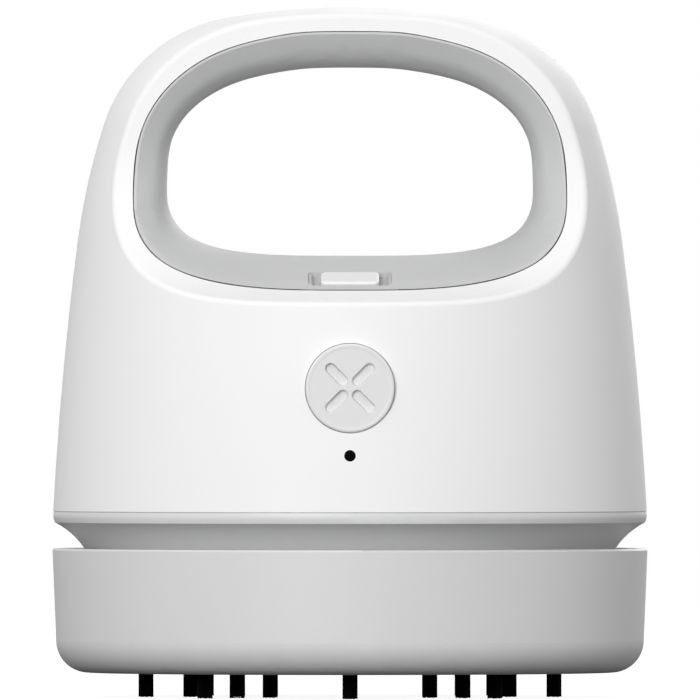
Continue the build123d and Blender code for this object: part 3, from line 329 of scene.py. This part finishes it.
def rolled_metal():
    """Drawn or turned metal: streaks along one direction, and dull patches."""
    group = bpy.data.node_groups.new("rolled_metal", "ShaderNodeTree")
    for label, kind, value in (
        ("Colour", "NodeSocketColor", (0.6, 0.6, 0.6, 1.0)),
        ("Tarnish", "NodeSocketFloat", 0.15),
        ("Roughness", "NodeSocketFloat", 0.3),
        ("Streaks", "NodeSocketVector", (400.0, 400.0, 4000.0)),
        ("Depth", "NodeSocketFloat", 0.003),
    ):
        group.interface.new_socket(label, in_out="INPUT", socket_type=kind).default_value = value
    group.interface.new_socket("Colour", in_out="OUTPUT", socket_type="NodeSocketColor")
    group.interface.new_socket("Roughness", in_out="OUTPUT", socket_type="NodeSocketFloat")
    group.interface.new_socket("Normal", in_out="OUTPUT", socket_type="NodeSocketVector")
    made, wired = group.nodes.new, group.links.new
    given = made("NodeGroupInput")
    put_out = made("NodeGroupOutput")
    place = made("ShaderNodeTexCoord")
    stretch = made("ShaderNodeVectorMath")
    stretch.operation = "MULTIPLY"
    wired(place.outputs["Object"], stretch.inputs[0])
    wired(given.outputs["Streaks"], stretch.inputs[1])
    streak = made("ShaderNodeTexNoise")
    streak.inputs["Scale"].default_value = 1.0
    streak.inputs["Detail"].default_value = 3.0
    wired(stretch.outputs[0], streak.inputs["Vector"])
    stain = made("ShaderNodeTexNoise")
    stain.inputs["Scale"].default_value = 320.0
    stain.inputs["Detail"].default_value = 5.0
    wired(place.outputs["Object"], stain.inputs["Vector"])
    dull = made("ShaderNodeMapRange")
    dull.inputs["From Min"].default_value = 0.4
    dull.inputs["From Max"].default_value = 0.7
    wired(stain.outputs["Fac"], dull.inputs["Value"])
    loss = made("ShaderNodeMath")
    loss.operation = "MULTIPLY"
    wired(dull.outputs["Result"], loss.inputs[0])
    wired(given.outputs["Tarnish"], loss.inputs[1])
    keep = made("ShaderNodeMath")
    keep.operation = "SUBTRACT"
    keep.inputs[0].default_value = 1.0
    wired(loss.outputs[0], keep.inputs[1])
    tint = made("ShaderNodeVectorMath")
    tint.operation = "SCALE"
    wired(given.outputs["Colour"], tint.inputs[0])
    wired(keep.outputs[0], tint.inputs["Scale"])
    wired(tint.outputs[0], put_out.inputs["Colour"])
    rough = made("ShaderNodeMath")
    rough.operation = "MULTIPLY_ADD"
    rough.inputs[1].default_value = 0.9
    wired(loss.outputs[0], rough.inputs[0])
    wired(given.outputs["Roughness"], rough.inputs[2])
    wired(rough.outputs[0], put_out.inputs["Roughness"])
    depth = made("ShaderNodeMath")
    depth.operation = "MULTIPLY"
    depth.inputs[1].default_value = 0.001
    wired(given.outputs["Depth"], depth.inputs[0])
    bump = made("ShaderNodeBump")
    wired(depth.outputs[0], bump.inputs["Distance"])
    wired(streak.outputs["Fac"], bump.inputs["Height"])
    wired(bump.outputs["Normal"], put_out.inputs["Normal"])
    return group


metal_group = rolled_metal()


def metal(name, colour, roughness, streaks=(900.0, 900.0, 900.0), depth=0.003, tarnish=0.15):
    """Bare or plated metal; streaks are how fine its marks are along X, Y and Z."""
    bare = bpy.data.materials.new(name)
    bare.use_nodes = True
    tree = bare.node_tree
    shader = tree.nodes["Principled BSDF"]
    shader.inputs["Metallic"].default_value = 1.0
    skin = tree.nodes.new("ShaderNodeGroup")
    skin.node_tree = metal_group
    skin.inputs["Colour"].default_value = (*colour, 1.0)
    skin.inputs["Tarnish"].default_value = tarnish
    skin.inputs["Roughness"].default_value = roughness
    skin.inputs["Streaks"].default_value = streaks
    skin.inputs["Depth"].default_value = depth
    tree.links.new(skin.outputs["Colour"], shader.inputs["Base Color"])
    tree.links.new(skin.outputs["Roughness"], shader.inputs["Roughness"])
    tree.links.new(skin.outputs["Normal"], shader.inputs["Normal"])
    return bare


def dress(finish, *names):
    """Gives CAD nodes their finish."""
    for name in names:
        for slot in nodes[name].material_slots:
            slot.material = finish


plate_grey = moulded("brush_plate_grey", (0.36, 0.365, 0.37), 0.5, grain_size=0.4, grain_depth=0.015,
                     clouding=0.03, wear_and_shade=(0.72, 0.62, 0.0052, 0.0036, 0.6))
screw_zinc = metal("zinc_plated_screw", (0.66, 0.66, 0.68), 0.32, depth=0.004, tarnish=0.25)
dress(plate_grey, "brush_plate")
dress(screw_zinc, "plate_screws")

# ------------------------------------------------------------------ bristle tufts
# Twenty-four tufts of black nylon, each a bundle of straight fibres pressed into a socket of the
# brush plate and cut level. They carry the vacuum, and their tips splay a little under its weight.

tuft_low, tuft_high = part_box("bristle_tufts")
fibre_radius = 0.00015
fibre_pitch = 0.00031
fibre_rings = 3
fibre_tip = 0.62           # width left at the cut end
tip_taper = fibre_radius * 0.8
tip_splay = 0.07
pitch_least = 0.985
pitch_swing = 0.03
length_step = 0.00003
twist = 900                # turn of a tuft in its socket, in radians per metre from the middle
spoke_count = 8
tuft_circles = (0.0163, 0.0230, 0.0295)
fibre_length = tuft_high[2] - tuft_low[2]

bpy.ops.object.select_all(action="DESELECT")
bpy.ops.mesh.primitive_cylinder_add(vertices=6, radius=fibre_radius, depth=fibre_length,
                                    location=(0.0, 0.0, fibre_length / 2))
fibre = bpy.context.object
bpy.ops.object.transform_apply(location=True, rotation=False, scale=False)
bpy.ops.object.mode_set(mode="EDIT")
bpy.ops.mesh.select_all(action="SELECT")
bpy.ops.mesh.bisect(plane_co=(0.0, 0.0, tip_taper), plane_no=(0.0, 0.0, 1.0))
bpy.ops.object.mode_set(mode="OBJECT")
for point in fibre.data.vertices:
    point.select = point.co.z < tip_taper / 2
bpy.ops.object.mode_set(mode="EDIT")
bpy.ops.transform.resize(value=(fibre_tip, fibre_tip, 1.0), center_override=(0.0, 0.0, 0.0))
bpy.ops.object.mode_set(mode="OBJECT")

bundle = [fibre]
for ring in range(1, fibre_rings + 1):
    for side in range(6):
        for step in range(ring):
            corner = Vector((math.cos(math.radians(60 * side)), math.sin(math.radians(60 * side)), 0.0))
            onward = Vector((math.cos(math.radians(60 * side + 120)),
                             math.sin(math.radians(60 * side + 120)), 0.0))
            foot = (corner * ring + onward * step) * fibre_pitch
            foot *= ring * fibre_pitch / foot.length * (pitch_least + pitch_swing * ((side + step) % 2))
            lift = ((7 * side + 3 * step + ring) % 5) * length_step
            lean = Matrix.Identity(4)
            lean[0][2] = -foot.x * tip_splay / fibre_length
            lean[1][2] = -foot.y * tip_splay / fibre_length
            strand = fibre.copy()
            strand.data = fibre.data.copy()
            strand.data.transform(lean)
            strand.data.transform(Matrix.Translation(foot * (1 + tip_splay) + Vector((0.0, 0.0, lift))))
            for point in strand.data.vertices:
                point.co.z = min(point.co.z, fibre_length)
            bpy.context.scene.collection.objects.link(strand)
            bundle.append(strand)
bpy.ops.object.select_all(action="DESELECT")
for strand in bundle:
    strand.select_set(True)
bpy.context.view_layer.objects.active = fibre
bpy.ops.object.join()

tufts = []
for circle in tuft_circles:
    for spoke in range(spoke_count):
        turn = math.radians(360 / spoke_count * spoke)
        tuft = fibre.copy()
        tuft.data = fibre.data.copy()
        tuft.data.transform(Matrix.Rotation(turn + circle * twist, 4, "Z"))
        tuft.data.transform(Matrix.Translation((circle * math.cos(turn), circle * math.sin(turn),
                                                tuft_low[2])))
        bpy.context.scene.collection.objects.link(tuft)
        tufts.append(tuft)
bpy.data.objects.remove(fibre)
bpy.ops.object.select_all(action="DESELECT")
for tuft in tufts:
    tuft.select_set(True)
bpy.context.view_layer.objects.active = tufts[0]
bpy.ops.object.join()
bristles = bpy.context.object
bristles.name = "nylon_bristles"
bpy.ops.object.shade_smooth_by_angle(angle=math.radians(50))
nylon = moulded("black_nylon", (0.003, 0.003, 0.0033), 0.55, grain_size=0.12, grain_depth=0.004,
                clouding=0.4, rubbing=0.12, specular=0.06)
bristles.data.materials.clear()
bristles.data.materials.append(nylon)
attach(bristles, "cup")
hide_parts("bristle_tufts")

# ------------------------------------------------------------------ dust cup
# The cup that holds the dust is moulded in one piece in light grey ABS, with a rounded foot and a
# rim that the body's spigot slides into. Its foot greys first, where it brushes along the desk.

cup_grey = moulded("dust_cup_grey", (0.68, 0.68, 0.683), 0.46, grain_size=0.3, grain_depth=0.010,
                   clouding=0.012, wear_and_shade=(0.93, 0.55, 0.0125, 0.0045, 0.5))
dress(cup_grey, "dust_cup")

# ------------------------------------------------------------------ filter
# A ring of white polypropylene with a cross of ribs, pressed into the spigot. It carries a pleated
# sheet of non-woven filter paper that keeps the dust out of the fan.


def matted_fibre(name, colour, roughness, strand=9000.0, depth=0.02, soil=0.25):
    """Paper, felt or foam: a mat of short fibres with soiled patches."""
    mat = bpy.data.materials.new(name)
    mat.use_nodes = True
    tree = mat.node_tree
    shader = tree.nodes["Principled BSDF"]
    shader.inputs["Roughness"].default_value = roughness
    shader.inputs["Specular IOR Level"].default_value = 0.2
    place = tree.nodes.new("ShaderNodeTexCoord")
    bend = tree.nodes.new("ShaderNodeTexNoise")
    bend.inputs["Scale"].default_value = 700.0
    tree.links.new(place.outputs["Object"], bend.inputs["Vector"])
    shift = tree.nodes.new("ShaderNodeVectorMath")
    shift.operation = "MULTIPLY_ADD"
    shift.inputs[1].default_value = (0.0009, 0.0009, 0.0009)
    tree.links.new(bend.outputs["Color"], shift.inputs[0])
    tree.links.new(place.outputs["Object"], shift.inputs[2])
    strands = tree.nodes.new("ShaderNodeTexVoronoi")
    strands.feature = "DISTANCE_TO_EDGE"
    strands.inputs["Scale"].default_value = strand / 4.0
    tree.links.new(shift.outputs[0], strands.inputs["Vector"])
    fuzz = tree.nodes.new("ShaderNodeTexNoise")
    fuzz.inputs["Scale"].default_value = strand
    fuzz.inputs["Detail"].default_value = 3.0
    tree.links.new(place.outputs["Object"], fuzz.inputs["Vector"])
    pile = tree.nodes.new("ShaderNodeMath")
    pile.operation = "MULTIPLY_ADD"
    pile.inputs[1].default_value = 1.5
    tree.links.new(strands.outputs["Distance"], pile.inputs[0])
    tree.links.new(fuzz.outputs["Fac"], pile.inputs[2])
    bump = tree.nodes.new("ShaderNodeBump")
    bump.inputs["Distance"].default_value = depth * 0.001
    tree.links.new(pile.outputs[0], bump.inputs["Height"])
    tree.links.new(bump.outputs["Normal"], shader.inputs["Normal"])
    dirt = tree.nodes.new("ShaderNodeTexNoise")
    dirt.inputs["Scale"].default_value = 130.0
    dirt.inputs["Detail"].default_value = 5.0
    tree.links.new(place.outputs["Object"], dirt.inputs["Vector"])
    tone = tree.nodes.new("ShaderNodeValToRGB")
    tone.color_ramp.elements[0].position = 0.35
    tone.color_ramp.elements[0].color = (*[c * (1 - soil) for c in colour], 1.0)
    tone.color_ramp.elements[1].position = 0.6
    tone.color_ramp.elements[1].color = (*colour, 1.0)
    tree.links.new(dirt.outputs["Fac"], tone.inputs["Fac"])
    tree.links.new(tone.outputs["Color"], shader.inputs["Base Color"])
    return mat


filter_white = moulded("filter_ring_white", (0.70, 0.70, 0.71), 0.45, grain_depth=0.004, clouding=0.03)
filter_paper = matted_fibre("filter_paper", (0.78, 0.78, 0.74), 0.85, soil=0.12)
dress(filter_white, "filter_frame")
dress(filter_paper, "filter_media")

# ------------------------------------------------------------------ collar, seal and inlet plate
# The collar is one moulding in mid-grey ABS: a deck for the motor, a hollow waist with the ring of
# air slots behind it, and the spigot that the cup grips. A rubber ring seals the spigot, and painted
# shade darkens the top of the collar's lip to draw the seam's shadow line.

# Painted shade: the band over the top of the collar's lip darkens it into the seam's shadow line under
# the shell.
collar_grey = moulded("collar_grey", (0.70, 0.703, 0.705), 0.45, grain_size=0.28, grain_depth=0.008,
                      clouding=0.015, wear_and_shade=(0.55, 0.6, 0.02672, 0.02682, 0.85, 0.85))
seal_black = moulded("seal_rubber_black", (0.02, 0.02, 0.02), 0.62, grain_size=0.15, grain_depth=0.010,
                     clouding=0.25, rubbing=0.1, specular=0.35)
dress(collar_grey, "waist_collar", "inlet_plate")
dress(seal_black, "seal_ring")

# ------------------------------------------------------------------ fan wheel and shaft
# Eleven swept blades under a disc, moulded in black glass-filled nylon, so its grain is coarse and
# its sheen low. It is pressed on the ground steel shaft of the motor.

fan_black = moulded("fan_wheel_black", (0.022, 0.022, 0.024), 0.5, grain_size=0.35, grain_depth=0.012,
                    clouding=0.3, rubbing=0.10)
shaft_bright = metal("ground_shaft", (0.70, 0.70, 0.72), 0.16, streaks=(600.0, 600.0, 14000.0),
                     depth=0.001, tarnish=0.08)
dress(fan_black, "impeller")
dress(shaft_bright, "motor_shaft")

# ------------------------------------------------------------------ motor
# A drawn, plated can with two ferrite magnets, a laminated armature, a nylon end cap with brass
# terminals, and a foam pad that keeps its hum off the deck. Two screws hold it from below.


def pressed_powder(name, colour, roughness, speck=2600.0, depth=0.02):
    """Sintered or stacked iron: dark with bright specks and a granular face."""
    iron = bpy.data.materials.new(name)
    iron.use_nodes = True
    tree = iron.node_tree
    shader = tree.nodes["Principled BSDF"]
    shader.inputs["Metallic"].default_value = 0.6
    place = tree.nodes.new("ShaderNodeTexCoord")
    grit = tree.nodes.new("ShaderNodeTexVoronoi")
    grit.inputs["Scale"].default_value = speck
    tree.links.new(place.outputs["Object"], grit.inputs["Vector"])
    tone = tree.nodes.new("ShaderNodeMapRange")
    tone.inputs["To Min"].default_value = 0.7
    tone.inputs["To Max"].default_value = 1.5
    tree.links.new(grit.outputs["Distance"], tone.inputs["Value"])
    tint = tree.nodes.new("ShaderNodeVectorMath")
    tint.operation = "SCALE"
    tint.inputs[0].default_value = colour
    tree.links.new(tone.outputs["Result"], tint.inputs["Scale"])
    tree.links.new(tint.outputs[0], shader.inputs["Base Color"])
    sheen = tree.nodes.new("ShaderNodeMapRange")
    sheen.inputs["To Min"].default_value = roughness - 0.12
    sheen.inputs["To Max"].default_value = roughness + 0.12
    tree.links.new(grit.outputs["Distance"], sheen.inputs["Value"])
    tree.links.new(sheen.outputs["Result"], shader.inputs["Roughness"])
    bump = tree.nodes.new("ShaderNodeBump")
    bump.inputs["Distance"].default_value = depth * 0.001
    tree.links.new(grit.outputs["Distance"], bump.inputs["Height"])
    tree.links.new(bump.outputs["Normal"], shader.inputs["Normal"])
    return iron


can_plated = metal("plated_motor_can", (0.62, 0.62, 0.64), 0.28, streaks=(1500.0, 1500.0, 90.0),
                   depth=0.004, tarnish=0.2)
dress(can_plated, "motor_can")
dress(pressed_powder("ferrite_magnet", (0.045, 0.045, 0.05), 0.6), "motor_magnets")
dress(pressed_powder("laminated_core", (0.16, 0.16, 0.165), 0.45, speck=1500.0, depth=0.01), "armature")
dress(moulded("end_cap_nylon", (0.70, 0.69, 0.64), 0.45, clouding=0.04), "motor_cap")
terminal_brass = metal("terminal_brass", (0.72, 0.50, 0.20), 0.25, tarnish=0.3)
dress(terminal_brass, "motor_terminals")
dress(matted_fibre("pad_foam", (0.035, 0.035, 0.037), 0.9, strand=5000.0, depth=0.06), "motor_pad")
dress(screw_zinc, "motor_screws")

# ------------------------------------------------------------------ battery and its cradle
# A lithium cell in a plain teal shrink sleeve lies across the back, in a cradle moulded in natural
# grey ABS that two screws hold on the deck.

cell_sleeve = moulded("cell_sleeve", (0.03, 0.16, 0.21), 0.26, grain_size=1.4, grain_depth=0.02,
                      clouding=0.08, rubbing=0.06)
cradle_grey = moulded("cradle_grey", (0.55, 0.55, 0.56), 0.5, clouding=0.03)
dress(cell_sleeve, "battery_cell")
dress(cradle_grey, "battery_cradle")
dress(screw_zinc, "cradle_screws")

# ------------------------------------------------------------------ boards, their parts and leads
# Glass-fibre boards under a green solder mask, with the copper tracks showing as a faint relief.
# Chips and connectors are black mouldings, and the leads are silicone in dark red.


def masked_board(name, colour):
    """Solder mask over copper: square pads with straight tracks between them, and a patchy sheen."""
    board = bpy.data.materials.new(name)
    board.use_nodes = True
    tree = board.node_tree
    shader = tree.nodes["Principled BSDF"]
    place = tree.nodes.new("ShaderNodeTexCoord")
    track = tree.nodes.new("ShaderNodeTexVoronoi")
    track.distance = "CHEBYCHEV"
    track.inputs["Scale"].default_value = 420.0
    track.inputs["Randomness"].default_value = 0.7
    tree.links.new(place.outputs["Object"], track.inputs["Vector"])
    edge = tree.nodes.new("ShaderNodeMapRange")
    edge.inputs["From Min"].default_value = 0.30
    edge.inputs["From Max"].default_value = 0.36
    tree.links.new(track.outputs["Distance"], edge.inputs["Value"])
    tone = tree.nodes.new("ShaderNodeValToRGB")
    tone.color_ramp.elements[0].color = (*colour, 1.0)
    tone.color_ramp.elements[1].color = (*[c * 1.7 + 0.01 for c in colour], 1.0)
    tree.links.new(edge.outputs["Result"], tone.inputs["Fac"])
    tree.links.new(tone.outputs["Color"], shader.inputs["Base Color"])
    film = tree.nodes.new("ShaderNodeTexNoise")
    film.inputs["Scale"].default_value = 500.0
    tree.links.new(place.outputs["Object"], film.inputs["Vector"])
    sheen = tree.nodes.new("ShaderNodeMapRange")
    sheen.inputs["To Min"].default_value = 0.22
    sheen.inputs["To Max"].default_value = 0.38
    tree.links.new(film.outputs["Fac"], sheen.inputs["Value"])
    tree.links.new(sheen.outputs["Result"], shader.inputs["Roughness"])
    bump = tree.nodes.new("ShaderNodeBump")
    bump.inputs["Distance"].default_value = 0.00003
    tree.links.new(edge.outputs["Result"], bump.inputs["Height"])
    tree.links.new(bump.outputs["Normal"], shader.inputs["Normal"])
    return board


board_green = masked_board("green_solder_mask", (0.008, 0.06, 0.025))
chip_black = moulded("chip_black", (0.012, 0.012, 0.013), 0.48, grain_size=0.12, grain_depth=0.006,
                     clouding=0.2, rubbing=0.08)
lead_red = moulded("lead_silicone_red", (0.26, 0.012, 0.010), 0.5, grain_size=0.2, grain_depth=0.004,
                   clouding=0.08, rubbing=0.08)
dress(board_green, "main_board", "charge_board", "slide_board")
dress(chip_black, "board_parts")
dress(lead_red, "motor_leads", "battery_leads", "charge_leads", "slide_leads")
dress(screw_zinc, "board_screws", "charge_screws", "slide_screws")

# ------------------------------------------------------------------ charging socket
# A drawn steel shell with a moulded tongue, soldered on its own small board. Its mouth lies just
# inside a slot in the rear shell, and gilt contacts run along both faces of the tongue.

socket_drawn = metal("drawn_socket_shell", (0.62, 0.62, 0.63), 0.24, streaks=(300.0, 4000.0, 300.0),
                     depth=0.002, tarnish=0.12)
dress(socket_drawn, "charge_socket")
socket_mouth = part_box("charge_socket")[1][1]
socket_level = 0.0334
tongue_half = 0.00035
contact_count = 6
contact_pitch = 0.001
contact_size = (0.00034, 0.0042, 0.00006)
contact_round = 0.000025
contact_setback = 0.0011
contact_proud = 0.00001

bpy.ops.object.select_all(action="DESELECT")
bpy.ops.mesh.primitive_cube_add(size=1.0, location=(0.0, 0.0, 0.0))
contact = bpy.context.object
contact.scale = contact_size
bpy.ops.object.transform_apply(location=False, rotation=False, scale=True)
bpy.ops.object.mode_set(mode="EDIT")
bpy.ops.mesh.select_all(action="SELECT")
bpy.ops.mesh.bevel(offset=contact_round, segments=2, affect="EDGES")
bpy.ops.object.mode_set(mode="OBJECT")
contact_row = []
for face in (-1, 1):
    for i in range(contact_count):
        pin = contact.copy()
        pin.data = contact.data.copy()
        pin.data.transform(Matrix.Translation((
            (i - (contact_count - 1) / 2) * contact_pitch,
            socket_mouth - contact_setback - contact_size[1] / 2,
            socket_level + face * (tongue_half + contact_proud))))
        bpy.context.scene.collection.objects.link(pin)
        contact_row.append(pin)
bpy.data.objects.remove(contact)
bpy.ops.object.select_all(action="DESELECT")
for pin in contact_row:
    pin.select_set(True)
bpy.context.view_layer.objects.active = contact_row[0]
bpy.ops.object.join()
contacts = bpy.context.object
contacts.name = "socket_contacts"
bpy.ops.object.shade_smooth_by_angle(angle=math.radians(40))
contacts.data.materials.clear()
contacts.data.materials.append(metal("gilt_contact", (0.83, 0.60, 0.24), 0.2, depth=0.001, tarnish=0.1))
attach(contacts, "main_body")

# ------------------------------------------------------------------ slide switch, tray and knob
# The speed switch sits under the handle's floor. Its smooth white knob runs in a grey tray with
# sloped ends, let into the liner, and a stem under it works the black switch.

knob_white = moulded("slide_knob_white", (0.80, 0.80, 0.80), 0.42, grain_size=0.2, grain_depth=0.003,
                     clouding=0.01, rubbing=0.08)
tray_grey = moulded("switch_tray_grey", (0.52, 0.52, 0.525), 0.45, grain_size=0.2, grain_depth=0.004)
switch_black = moulded("switch_body_black", (0.018, 0.018, 0.019), 0.42, grain_size=0.2,
                       grain_depth=0.006, clouding=0.2, rubbing=0.06)
dress(knob_white, "slide_knob")
dress(tray_grey, "slide_tray")
dress(switch_black, "slide_switch")

# ------------------------------------------------------------------ power button and indicator
# A round push button in pale grey ABS: a soft outer edge, a thin raised ring round a shallow dish,
# and four rounded slots that run out from the middle. A rim behind the shell stops it.

button_low, button_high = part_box("power_button")
button_level = 0.0447
button_front, button_back = -button_low[1], -button_high[1]
button_tall = button_front - button_back
cap_radius = 0.0064
rim_radius = (button_high[0] - button_low[0]) / 2
rim_thick = 0.0012
edge_round = 0.0003
ring_width = 0.0006
dish_depth = 0.00006
dish_slope = 0.0002
slot_size = (0.00405, 0.0016)
slot_turns = (45, 135, 225, 315)
slot_end_sides = 32
slot_edge_round = 0.00006
slot_reach = 0.00272
slot_depth = 0.0007
slot_draft = 0.00017

bpy.ops.object.select_all(action="DESELECT")
bpy.ops.mesh.primitive_cylinder_add(vertices=128, radius=cap_radius, depth=button_tall,
                                    location=(0.0, 0.0, button_tall / 2))
cap = bpy.context.object
cap.name = "push_button"
bpy.ops.object.transform_apply(location=True, rotation=False, scale=False)
bpy.ops.object.mode_set(mode="EDIT")
bpy.ops.mesh.select_all(action="SELECT")
bpy.ops.mesh.bisect(plane_co=(0.0, 0.0, rim_thick), plane_no=(0.0, 0.0, 1.0))
bpy.ops.mesh.select_mode(type="FACE")
bpy.ops.mesh.select_all(action="DESELECT")
bpy.ops.object.mode_set(mode="OBJECT")
for face in cap.data.polygons:
    face.select = abs(face.normal.z) < 0.1 and face.center.z < rim_thick
bpy.ops.object.mode_set(mode="EDIT")
bpy.ops.mesh.extrude_region_shrink_fatten(
    TRANSFORM_OT_shrink_fatten={"value": rim_radius - cap_radius, "use_even_offset": True})
bpy.ops.mesh.select_mode(type="EDGE")
bpy.ops.mesh.select_all(action="DESELECT")
bpy.ops.object.mode_set(mode="OBJECT")
for edge in cap.data.edges:
    ends = [cap.data.vertices[i].co for i in edge.vertices]
    edge.select = all(end.z > button_tall - 1e-6 for end in ends)
bpy.ops.object.mode_set(mode="EDIT")
bpy.ops.mesh.bevel(offset=edge_round, segments=6, affect="EDGES")
bpy.ops.mesh.select_mode(type="FACE")
bpy.ops.mesh.select_all(action="DESELECT")
bpy.ops.object.mode_set(mode="OBJECT")
for face in cap.data.polygons:
    face.select = face.normal.z > 0.99 and face.center.z > button_tall - 1e-6
bpy.ops.object.mode_set(mode="EDIT")
bpy.ops.mesh.inset(thickness=ring_width - edge_round)
bpy.ops.mesh.inset(thickness=dish_slope)
bpy.ops.transform.translate(value=(0.0, 0.0, -dish_depth))
bpy.ops.mesh.select_all(action="SELECT")
bpy.ops.mesh.normals_make_consistent(inside=False)
bpy.ops.object.mode_set(mode="OBJECT")

bpy.ops.object.select_all(action="DESELECT")
bpy.ops.mesh.primitive_cone_add(vertices=slot_end_sides, radius1=slot_size[1] / 2 - slot_draft,
                                radius2=slot_size[1] / 2 + slot_draft, depth=2 * slot_depth,
                                location=(0.0, 0.0, 0.0),
                                rotation=(0.0, 0.0, math.radians(180 / slot_end_sides)))
cutter = bpy.context.object
bpy.ops.object.transform_apply(location=False, rotation=True, scale=False)
half_run = (slot_size[0] - slot_size[1]) / 2
for point in cutter.data.vertices:
    point.co.x += half_run if point.co.x > 0 else -half_run
cutters = []
for turn in slot_turns:
    tool = cutter.copy()
    tool.data = cutter.data.copy()
    tool.data.transform(Matrix.Translation((slot_reach, 0.0, button_tall - dish_depth)))
    tool.data.transform(Matrix.Rotation(math.radians(turn), 4, "Z"))
    bpy.context.scene.collection.objects.link(tool)
    cutters.append(tool)
bpy.data.objects.remove(cutter)
bpy.ops.object.select_all(action="DESELECT")
for tool in cutters:
    tool.select_set(True)
bpy.context.view_layer.objects.active = cutters[0]
bpy.ops.object.join()
cutter = bpy.context.object
bpy.ops.object.select_all(action="DESELECT")
cap.select_set(True)
bpy.context.view_layer.objects.active = cap
cut = cap.modifiers.new("slots", "BOOLEAN")
cut.operation = "DIFFERENCE"
cut.solver = "EXACT"
cut.object = cutter
bpy.ops.object.modifier_apply(modifier=cut.name)
bpy.data.objects.remove(cutter)
soften = cap.modifiers.new("soft_edges", "BEVEL")
soften.limit_method = "ANGLE"
soften.angle_limit = math.radians(40)
soften.width = slot_edge_round
soften.segments = 3
bpy.ops.object.modifier_apply(modifier=soften.name)
bpy.ops.object.mode_set(mode="EDIT")
bpy.ops.mesh.select_all(action="SELECT")
bpy.ops.mesh.remove_doubles(threshold=0.0000005)
bpy.ops.mesh.normals_make_consistent(inside=False)
bpy.ops.object.mode_set(mode="OBJECT")
cap.data.transform(Matrix.Translation((0.0, -button_back, button_level))
                   @ Matrix.Rotation(math.radians(90), 4, "X"))
bpy.ops.object.shade_smooth_by_angle(angle=math.radians(30))
even = cap.modifiers.new("even_faces", "WEIGHTED_NORMAL")
even.weight = 100
even.keep_sharp = True
bpy.ops.object.modifier_apply(modifier=even.name)
button_pale = moulded("power_button_pale", (0.73, 0.73, 0.732), 0.4, grain_size=0.2, grain_depth=0.004,
                      clouding=0.01, rubbing=0.07)
cap.data.materials.clear()
cap.data.materials.append(button_pale)
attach(cap, "button")
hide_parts("power_button")
dress(switch_black, "switch_stem", "tact_switch")
lens_dark = moulded("indicator_dark", (0.003, 0.003, 0.004), 0.12, grain_size=0.5, grain_depth=0.001,
                    clouding=0.2, rubbing=0.03, specular=0.02)
dress(lens_dark, "indicator_lens")

# ------------------------------------------------------------------ handle liner
# One ring in cool grey ABS lines the handle's opening and flares out to the shells on both sides,
# rounded where it meets them; its rim is trapped behind their edges. Fingers polish its roof.

lip_share = 0.93
cad_flare, round_flare = 2.5, 6.0
flare_width = 0.0049
flare_low, flare_high = 0.0588, 0.0960
floor_level = 0.0615       # the slide's pocket hangs below it
round_start, round_rise = 0.0625, 0.0115   # the rounding fades in above the floor
least_inward, least_slope = 0.1, 0.3
hole_middle = 0.077
scoop_middle = (0.0404, 0.0818)
scoop_radius = 0.0247
face_lean = math.radians(3.5)


def face_depth(level):
    """From the middle plane to the handle's face: a round scoop below, a leaning plane above."""
    meet = scoop_middle[1] - scoop_radius * math.sin(face_lean)
    if level < meet:
        return scoop_middle[0] - math.sqrt(scoop_radius ** 2 - (level - scoop_middle[1]) ** 2)
    return scoop_middle[0] - scoop_radius * math.cos(face_lean) - (level - meet) * math.tan(face_lean)


bpy.ops.object.select_all(action="DESELECT")
liner = nodes["handle_liner"].copy()
liner.data = nodes["handle_liner"].data.copy()
liner.name = "opening_liner"
bpy.context.scene.collection.objects.link(liner)
liner.parent = None
liner.select_set(True)
bpy.context.view_layer.objects.active = liner
bpy.ops.mesh.customdata_custom_splitnormals_clear()
bpy.ops.object.mode_set(mode="EDIT")
bpy.ops.mesh.select_all(action="SELECT")
bpy.ops.mesh.remove_doubles(threshold=0.000001)
bpy.ops.object.mode_set(mode="OBJECT")
facing = {}
for face in liner.data.polygons:
    inward = Vector((-face.center.x, 0.0, hole_middle - face.center.z)).normalized()
    across = Vector((face.normal.x, 0.0, face.normal.z))
    turned_in = across.dot(inward) > least_inward and across.length > least_slope
    if turned_in and face.center.z > floor_level:
        for i in face.vertices:
            facing[i] = facing.get(i, Vector()) + across * face.area
for i, across in facing.items():
    point = liner.data.vertices[i].co
    across.normalize()
    level = point.z
    for _ in range(3):     # the seam's height and the face's depth there settle each other
        share = min(abs(point.y) / face_depth(level), 1.0)
        level = point.z - across.z * (1 - lip_share * share ** cad_flare) * flare_width
        level = min(max(level, flare_low), flare_high)
    climb = min(max((point.z - round_start) / round_rise, 0.0), 1.0)
    climb = climb * climb * (3 - 2 * climb)
    swell = lip_share * (share ** cad_flare - share ** round_flare) * flare_width * climb
    point.x += across.x * swell
    point.z += across.z * swell
bpy.ops.object.shade_smooth_by_angle(angle=math.radians(32))
even = liner.modifiers.new("even_faces", "WEIGHTED_NORMAL")
even.keep_sharp = True
bpy.ops.object.modifier_apply(modifier=even.name)
liner_grey = moulded("handle_liner_grey", (0.56, 0.563, 0.565), 0.58, grain_size=0.26, grain_depth=0.009,
                     clouding=0.012, specular=0.3, wear_and_shade=(1.02, 0.44, 0.0860, 0.0960, 0.6))
liner.data.materials.clear()
liner.data.materials.append(liner_grey)
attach(liner, "main_body")
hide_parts("handle_liner")

# ------------------------------------------------------------------ shells and their long screws
# The front and rear shells are moulded in white ABS with a fine satin texture, and meet along a
# lipped seam. Four long screws pull them down on the collar; the grip has gone a little glossier.

shell_white = moulded("shell_white", (0.87, 0.87, 0.87), 0.58, grain_size=0.22, grain_depth=0.004,
                      clouding=0.006, specular=0.3, wear_and_shade=(0.99, 0.46, 0.0820, 0.0960, 0.6))
dress(shell_white, "front_shell", "rear_shell")
dress(screw_zinc, "shell_screws")
